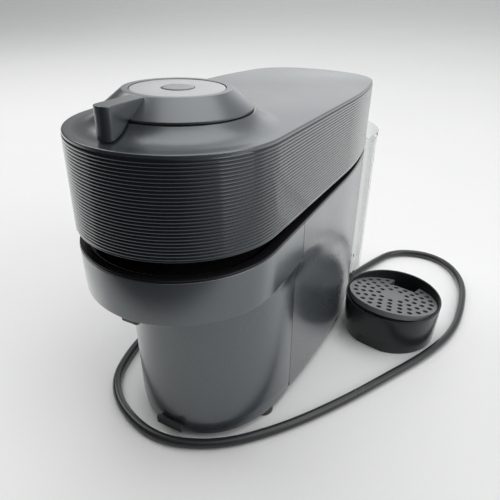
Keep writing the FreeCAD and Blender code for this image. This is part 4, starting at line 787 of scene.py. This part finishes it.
# Water tank
# A clear polished plastic crescent that hugs the casing's rear, with a bead round its open rim. A white
# valve in a pocket of its foot pushes onto a spigot on the base.
HAZE_SCALE = 25.0
HAZE_MOST = 0.02
EDGE_BLEND = 0.25
CLEAR_TINT = (0.955, 0.96, 0.96, 1)
PAINTED_EDGE_SHADE = (0.58, 0.59, 0.59, 1)
SHADOW_TINT = (0.93, 0.94, 0.94, 1)
clear, tree, shader = new_material("tank_clear", IOR=1.01, Transmission_Weight=1.0, Coat_Weight=0.05,
                                   Coat_Roughness=0.1)
haze = tree.nodes.new("ShaderNodeGroup")
haze.node_tree = moulded_grain
haze.inputs["Cloud Scale"].default_value = HAZE_SCALE
tree.links.new(mapped(tree, haze.outputs["Cloud"], 0.0, HAZE_MOST), shader.inputs["Roughness"])
# Painted shade: the tank's colour is painted darker grey where its walls are seen edge on, standing in for
# the dark edges that refraction would give.
grazing = tree.nodes.new("ShaderNodeLayerWeight")
grazing.inputs["Blend"].default_value = EDGE_BLEND
tree.links.new(mixed(tree, grazing.outputs["Facing"], CLEAR_TINT, PAINTED_EDGE_SHADE), shader.inputs["Base Color"])
ray = tree.nodes.new("ShaderNodeLightPath").outputs
through = tree.nodes.new("ShaderNodeBsdfTransparent")
through.inputs["Color"].default_value = SHADOW_TINT
pick = tree.nodes.new("ShaderNodeMixShader")
tree.links.new(ray["Is Shadow Ray"], pick.inputs["Fac"])
tree.links.new(shader.outputs["BSDF"], pick.inputs[1])
tree.links.new(through.outputs["BSDF"], pick.inputs[2])
tree.links.new(pick.outputs["Shader"], tree.nodes["Material Output"].inputs["Surface"])
finish_nodes(clear, "water_tank")
valve_white = plastic("valve_white", (0.55, 0.56, 0.56), 0.4, drift=0.04)
finish_nodes(valve_white, "tank_valve", "tank_spigot")

# Head
# The hinged head is a moulded gloss black band with fine ribs all round, on a black underside. Inside, a
# bridge carries the injector, the lock and the code reader. It stands popped open on its rear hinge.
HINGE_Y = 239.0
HINGE_Z = 185.0
POP_ANGLE = math.radians(2.1)
HEAD_Z = 168.5
PLATE_Z = 226.2
RIBS = 28
RIB_DEPTH = 0.28
RIB_POINTS = 7
RIB_TOP_GAP = 0.4
LIP_H = 1.4
SWING_R = 17.2
NOTCH_HALF_W = 9.4
NOTCH_TOP_Z = 187.5
NOTCH_PAST = 1.2


def popped(points):
    """Points of the closed head turned about its hinge by the angle it stands open at rest."""
    y, z = points[..., 1] - HINGE_Y, points[..., 2] - HINGE_Z
    c, s = math.cos(POP_ANGLE), math.sin(POP_ANGLE)
    return np.stack([points[..., 0], HINGE_Y + c * y + s * z, HINGE_Z - s * y + c * z], axis=-1)


def clear_of_swing(points):
    """Points of the head's rear foot drawn in to the circle round the hinge that turns free of the casing."""
    y, z = points[..., 1] - HINGE_Y, points[..., 2] - HINGE_Z
    away = np.hypot(y, z)
    scale = np.where((y > 0) & (z < 0), np.minimum(1, SWING_R / np.maximum(away, 1e-6)), 1)
    return np.stack([points[..., 0], HINGE_Y + scale * y, HINGE_Z + scale * z], axis=-1)


band_gloss = plastic("band_gloss", (0.008, 0.011, 0.015), 0.1, uneven=0.02, bump=0.02, specks=0.015, IOR=1.6,
                     Specular_Tint=BLUISH)
rib_low, rib_high = HEAD_Z + LIP_H, PLATE_Z - RIB_TOP_GAP
rib_h = (rib_high - rib_low) / RIBS
t = np.linspace(-1, 1, RIB_POINTS)[:-1]
rib_z = np.linspace(rib_low, rib_high, RIBS, endpoint=False)[:, None] + (t + 1)[None] / 2 * rib_h
ribs = np.stack([np.tile(RIB_DEPTH * t ** 2, (RIBS, 1)), rib_z], axis=-1).reshape(-1, 2)
foot = [
    (WALL, HEAD_Z), (0.8, HEAD_Z), (0.35, HEAD_Z + 0.15), (0.1, HEAD_Z + 0.5),
    (0.1, HEAD_Z + LIP_H - 0.5),
]
head_top = [(RIB_DEPTH, rib_high), (0.6, PLATE_Z), (WALL, PLATE_Z), (WALL, (PLATE_Z + HEAD_Z) / 2)]
band = np.concatenate([foot, ribs, head_top])
gap = math.degrees(math.asin(NOTCH_HALF_W / REAR_ARC_R))
rear_c = (0, REAR_Y - REAR_ARC_R)
runs = rear_runs(gap)
over_hinge = arc_run(rear_c, REAR_ARC_R, 90 - gap, 90 + gap * NOTCH_PAST, 12)
notch_start = arc_run(rear_c, REAR_ARC_R, 90 - gap, 90, 1)
way_round = joined(*runs[3:], left_side, front_arc, right_side, *runs[:3], notch_start, over_hinge)
band_grid = carry(*way_round, band)
notch = band_grid[:, -len(over_hinge[0]):, 2]
np.maximum(notch, NOTCH_TOP_Z, out=notch)
build("ribbed_band", (popped(clear_of_swing(band_grid)), True, True, False), material=band_gloss, body="head",
      stands_for=["head_cover"], finish="gloss_band", sharp=50)
reader_black = plastic("reader_black", (0.02, 0.01, 0.02), 0.15)
finish_nodes(deck_black, "head_underside")
finish_nodes(base_black, "head_bridge", "head_posts", "hinge_arms", "hinge_block")
finish_nodes(steel, "injector_plate", "hinge_pin")
finish_nodes(brass, "injector_bearing")
finish_nodes(foot_rubber, "injector_seal")
finish_nodes(moulded_white, "lock_sleeve", "lock_ring", "dial_post")
finish_nodes(reader_black, "code_reader")
finish_nodes(circuit_green, "button_board")
finish_nodes(silicone, "head_hose")

# Top plate
# The satin plastic lid fixed over the band: a thin plate with an eased edge that sweeps up in a hollow flare
# to the lever ring.
PLATE_INSET = 0.6
PLATE_TOP_Z = 228.2
LID_EDGE_R = 0.9
LID_UNDER_IN = 1.0
FLARE_FOOT_R = 62.5
FLARE_TOP_R = 46.0
FLARE_TOP_Z = 236.4
FLARE_BORE_R = 42.0
FLARE_EASE = 0.5
FLARE_RUN = FLARE_FOOT_R - FLARE_TOP_R
FLARE_RISE = FLARE_TOP_Z - PLATE_TOP_Z
FLARE_ARC_R = (FLARE_RUN ** 2 + FLARE_RISE ** 2) / (2 * FLARE_RISE)
SATIN_COLOUR = (0.029, 0.033, 0.037)
SATIN = {"uneven": 0.03, "drift": 0.05, "bump": 0.06, "IOR": 1.65, "Specular_IOR_Level": 0.95,
         "Specular_Tint": BLUISH}


def turned(profile, around=128):
    """A profile of (radius, height) points turned about the upright axis: rows follow the profile."""
    angle = np.linspace(0, 2 * np.pi, around, endpoint=False)
    radius = profile[:, :1]
    height = np.broadcast_to(profile[:, 1:], (len(profile), around))
    return np.stack([radius * np.cos(angle), radius * np.sin(angle), height], axis=-1)


def flare_height(radius, gap=0.0):
    """Height of the hollow flare at a radius, or of a surface that keeps the gap above it."""
    return PLATE_TOP_Z + FLARE_ARC_R - np.sqrt((FLARE_ARC_R - gap) ** 2 - (FLARE_FOOT_R - radius) ** 2)


top_satin = plastic("top_satin", SATIN_COLOUR, 0.3, **SATIN)
edge_turn = np.linspace(0, np.pi / 2, 7)
edge_in = PLATE_INSET + LID_EDGE_R * (1 - np.cos(edge_turn))
edge_z = PLATE_TOP_Z - LID_EDGE_R * (1 - np.sin(edge_turn))
edge = np.concatenate([[(PLATE_INSET, PLATE_Z)], np.stack([edge_in, edge_z], axis=1)])
lid_edge = carry(body_plan, body_out, edge)
shoulder = body_plan - (PLATE_INSET + LID_EDGE_R) * body_out
share = np.linspace(0, 1, 7)[1:]
lid_flat = drawn_to_circle(shoulder, FLARE_FOOT_R, share, np.full(len(share), PLATE_TOP_Z))
flare_r = np.linspace(FLARE_FOOT_R, FLARE_TOP_R + FLARE_EASE, 28)[1:]
hollow = np.stack([flare_r, flare_height(flare_r)], axis=1)
lip = np.array([
    (FLARE_TOP_R, FLARE_TOP_Z - 0.05), (FLARE_TOP_R - 0.4, FLARE_TOP_Z),
    (FLARE_BORE_R, FLARE_TOP_Z), (FLARE_BORE_R, PLATE_Z),
])
rise = np.concatenate([hollow, lip])
ray_way = body_plan / np.linalg.norm(body_plan, axis=1, keepdims=True)
flare_level = np.broadcast_to(rise[:, None, 1:], (len(rise), len(body_plan), 1))
flare_grid = np.concatenate([rise[:, None, :1] * ray_way[None], flare_level], axis=2)
lid_under = drawn_to_circle(body_plan - LID_UNDER_IN * body_out, FLARE_BORE_R, [0.5], [PLATE_Z])
lid = np.concatenate([lid_edge, lid_flat, flare_grid, lid_under])
build("top_lid", (popped(lid), True, True, False), material=top_satin, body="head",
      stands_for=["top_plate"], finish="top_satin", sharp=40)

# Lever ring
# A cone of the same satin plastic that turns on the flare to lock the head, with a low straight edge at its
# foot and a rounded rim.
RING_Z = 236.9
RING_FOOT_R = 44.8
RING_EDGE_Z = 238.1
RING_TOP_R = 32.4
RING_TOP_Z = 248.0
RING_BORE_R = 28.4
knob_satin = plastic("knob_satin", SATIN_COLOUR, 0.3, **SATIN)
ring_profile = rounded([
    (RING_FOOT_R, RING_Z, 0.25), (RING_FOOT_R, RING_EDGE_Z, 0.5), (RING_TOP_R, RING_TOP_Z, 1.0),
    (RING_BORE_R, RING_TOP_Z, 0.3), (RING_BORE_R, RING_Z + 3, 0.2), (RING_FOOT_R - 6, RING_Z, 0.2),
], steps=7)
build("knob_ring", (popped(turned(ring_profile, 160)), True, True, False), material=knob_satin, body="lever",
      stands_for=["lever_ring"], finish="knob_satin", sharp=40)

# Lever
# A flat-topped bar of the same satin plastic, let into the ring and round at its tip. Its underside follows
# the flare with a small gap, so that it turns free.
LEVER_ROOT_R = 33.2
LEVER_TIP_R = 60.7
LEVER_HALF_W = 5.5
LEVER_ROOT_ROUND = 0.4
LEVER_TIP_ROUND = 4.4
LEVER_TIP_DROP = 0.8
LEVER_CLEAR = 0.6
LEVER_EASE = 0.7
LEVER_TURN = math.radians(-5)
LEVEL_TO_R = FLARE_TOP_R + 0.2
UNDER_ROWS = 8
SIDE_SHARE = (0.25, 0.5, 0.75)
TOP_ROWS = 5
bar = spaced(rounded([
    (-LEVER_HALF_W, LEVER_ROOT_R, LEVER_ROOT_ROUND), (LEVER_HALF_W, LEVER_ROOT_R, LEVER_ROOT_ROUND),
    (LEVER_HALF_W, LEVER_TIP_R, LEVER_TIP_ROUND), (-LEVER_HALF_W, LEVER_TIP_R, LEVER_TIP_ROUND),
], steps=10), 1.0)
spine_y = np.clip(bar[:, 1], LEVER_ROOT_R + LEVER_HALF_W, LEVER_TIP_R - LEVER_HALF_W)
spine = np.stack([np.zeros(len(bar)), spine_y], axis=1)
quarter = np.linspace(0, np.pi / 2, 6)
upright = np.zeros(len(SIDE_SHARE))
draw = np.concatenate([
    np.linspace(1, 0.1, UNDER_ROWS), LEVER_EASE / LEVER_HALF_W * (1 - np.sin(quarter)), upright,
    LEVER_EASE / LEVER_HALF_W * (1 - np.cos(quarter)), np.linspace(0.2, 1, TOP_ROWS),
])
lift = np.concatenate([
    np.zeros(UNDER_ROWS), LEVER_EASE * (1 - np.cos(quarter)), upright,
    -LEVER_EASE * (1 - np.sin(quarter)), np.zeros(TOP_ROWS),
])
share = np.concatenate([
    np.zeros(UNDER_ROWS + len(quarter)), SIDE_SHARE, np.ones(len(quarter) + TOP_ROWS),
])
flat = bar[None] + draw[:, None, None] * (spine - bar)[None]
reach = flat[:, :, 1]
above_flare = flare_height(np.maximum(reach, FLARE_TOP_R), LEVER_CLEAR)
under = np.where(reach < LEVEL_TO_R, RING_EDGE_Z, np.minimum(RING_EDGE_Z, above_flare))
over = RING_TOP_Z - LEVER_TIP_DROP * (reach - LEVER_ROOT_R) / (LEVER_TIP_R - LEVER_ROOT_R)
level = under + share[:, None] * (over - under) + lift[:, None]
c, s = math.cos(LEVER_TURN), math.sin(LEVER_TURN)
lever = np.stack([c * flat[:, :, 0] + s * reach, s * flat[:, :, 0] - c * reach, level], axis=-1)
build("lever_bar", (popped(lever), False, True, False), material=knob_satin, body="lever",
      stands_for=["lever_handle"], finish="knob_satin", sharp=40)

# Dial and button
# A pale grey moulded disc fills the ring. It sits on a post of the head, so it stays still while the ring
# turns. The gloss black button slides in its middle and starts the brew.
DISC_R = 28.0
DISC_TOP_Z = 247.7
DISC_LOW_Z = 244.5
BUTTON_WAY_R = 9.95
BUTTON_R = 9.6
BUTTON_TOP_Z = 248.0
BUTTON_EASE = 0.4
DISH_R = 9.0
DISH_DEPTH = 0.1
dial_grey = plastic("dial_grey", (0.39, 0.395, 0.4), 0.36, uneven=0.03, drift=0.03, bump=0.04)
button_black = plastic("button_gloss", (0.05, 0.05, 0.055), 0.16, uneven=0.03, drift=0.05, bump=0.02)
disc = rounded([
    (DISC_R, DISC_LOW_Z, 0.2), (DISC_R, DISC_TOP_Z, 0.4), (BUTTON_WAY_R, DISC_TOP_Z, 0.3),
    (BUTTON_WAY_R, DISC_LOW_Z, 0.2),
])
build("dial", (popped(turned(disc)), True, True, False), material=dial_grey, body="head",
      stands_for=["dial_disc"], finish="dial_grey")
cap_r = BUTTON_R - BUTTON_EASE * (1 - np.cos(quarter))
cap_z = BUTTON_TOP_Z - DISH_DEPTH - BUTTON_EASE * (1 - np.sin(quarter))
dish_r = np.linspace(DISH_R, 0.5, 8)
dish_z = BUTTON_TOP_Z - DISH_DEPTH * (1 - np.cos(np.linspace(0, 1.5, 8)))
cap = np.concatenate([
    [(BUTTON_R, DISC_LOW_Z)], np.stack([cap_r, cap_z], axis=1), np.stack([dish_r, dish_z], axis=1),
])
build("button", (popped(turned(cap, 96)), False, True, True), material=button_black, body="button",
      stands_for=["brew_button"], finish="button_black")

# Drip tray
# A pan moulded in satin black plastic that stands on its own beside the casing, slightly wider at the rim,
# with a flat at its foot where the hook of the column takes it. A grey grid lies loose in it.
TRAY_C = np.array([113.6, 178.0])
TRAY_FOOT_R = 44.0
TRAY_RIM_R = 45.3
TRAY_H = 38.0
TRAY_WALL = 2.0
FACET_IN = 42.0
FACET_H = 11.0
FACET_EASE = 0.3
PAN_MIDDLE_R = 0.5
FACET_WAY = math.radians(260)
tray_black = plastic("tray_black", (0.022, 0.023, 0.026), 0.26, uneven=0.04, bump=0.08, specks=0.01,
                     Specular_IOR_Level=0.2)
step_r = TRAY_FOOT_R + (TRAY_RIM_R - TRAY_FOOT_R) * FACET_H / TRAY_H
pan = spaced(rounded([
    (PAN_MIDDLE_R, 0, 0.1), (TRAY_FOOT_R, 0, 1.0),
    (step_r - 0.01, FACET_H - FACET_EASE, 0), (step_r + 0.01, FACET_H + FACET_EASE, 0),
    (TRAY_RIM_R, TRAY_H, 0.7), (TRAY_RIM_R - TRAY_WALL, TRAY_H, 0.7),
    (TRAY_FOOT_R - 2 * TRAY_WALL, TRAY_WALL, 2.0), (PAN_MIDDLE_R, TRAY_WALL, 0.1),
]), 3.0)
tray = turned(pan, 192)
facet_out = np.array([math.cos(FACET_WAY), math.sin(FACET_WAY)])
in_facet = smooth(FACET_H + FACET_EASE, FACET_H - FACET_EASE, tray[:, :, 2])
over = np.maximum(0, tray[:, :, :2] @ facet_out - FACET_IN) * in_facet
tray[:, :, :2] -= over[:, :, None] * facet_out
tray[:, :, :2] += TRAY_C
build("drip_pan", (tray, True, True, False), material=tray_black, body="tray", stands_for=["drip_tray"],
      finish="tray_black", sharp=25)
grid_grey = plastic("grid_grey", (0.13, 0.132, 0.136), 0.4, uneven=0.04, bump=0.08, specks=0.01)
finish_nodes(grid_grey, "drip_grid")

# Size
# The box of the pieces that are shown, without the floor.
low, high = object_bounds()
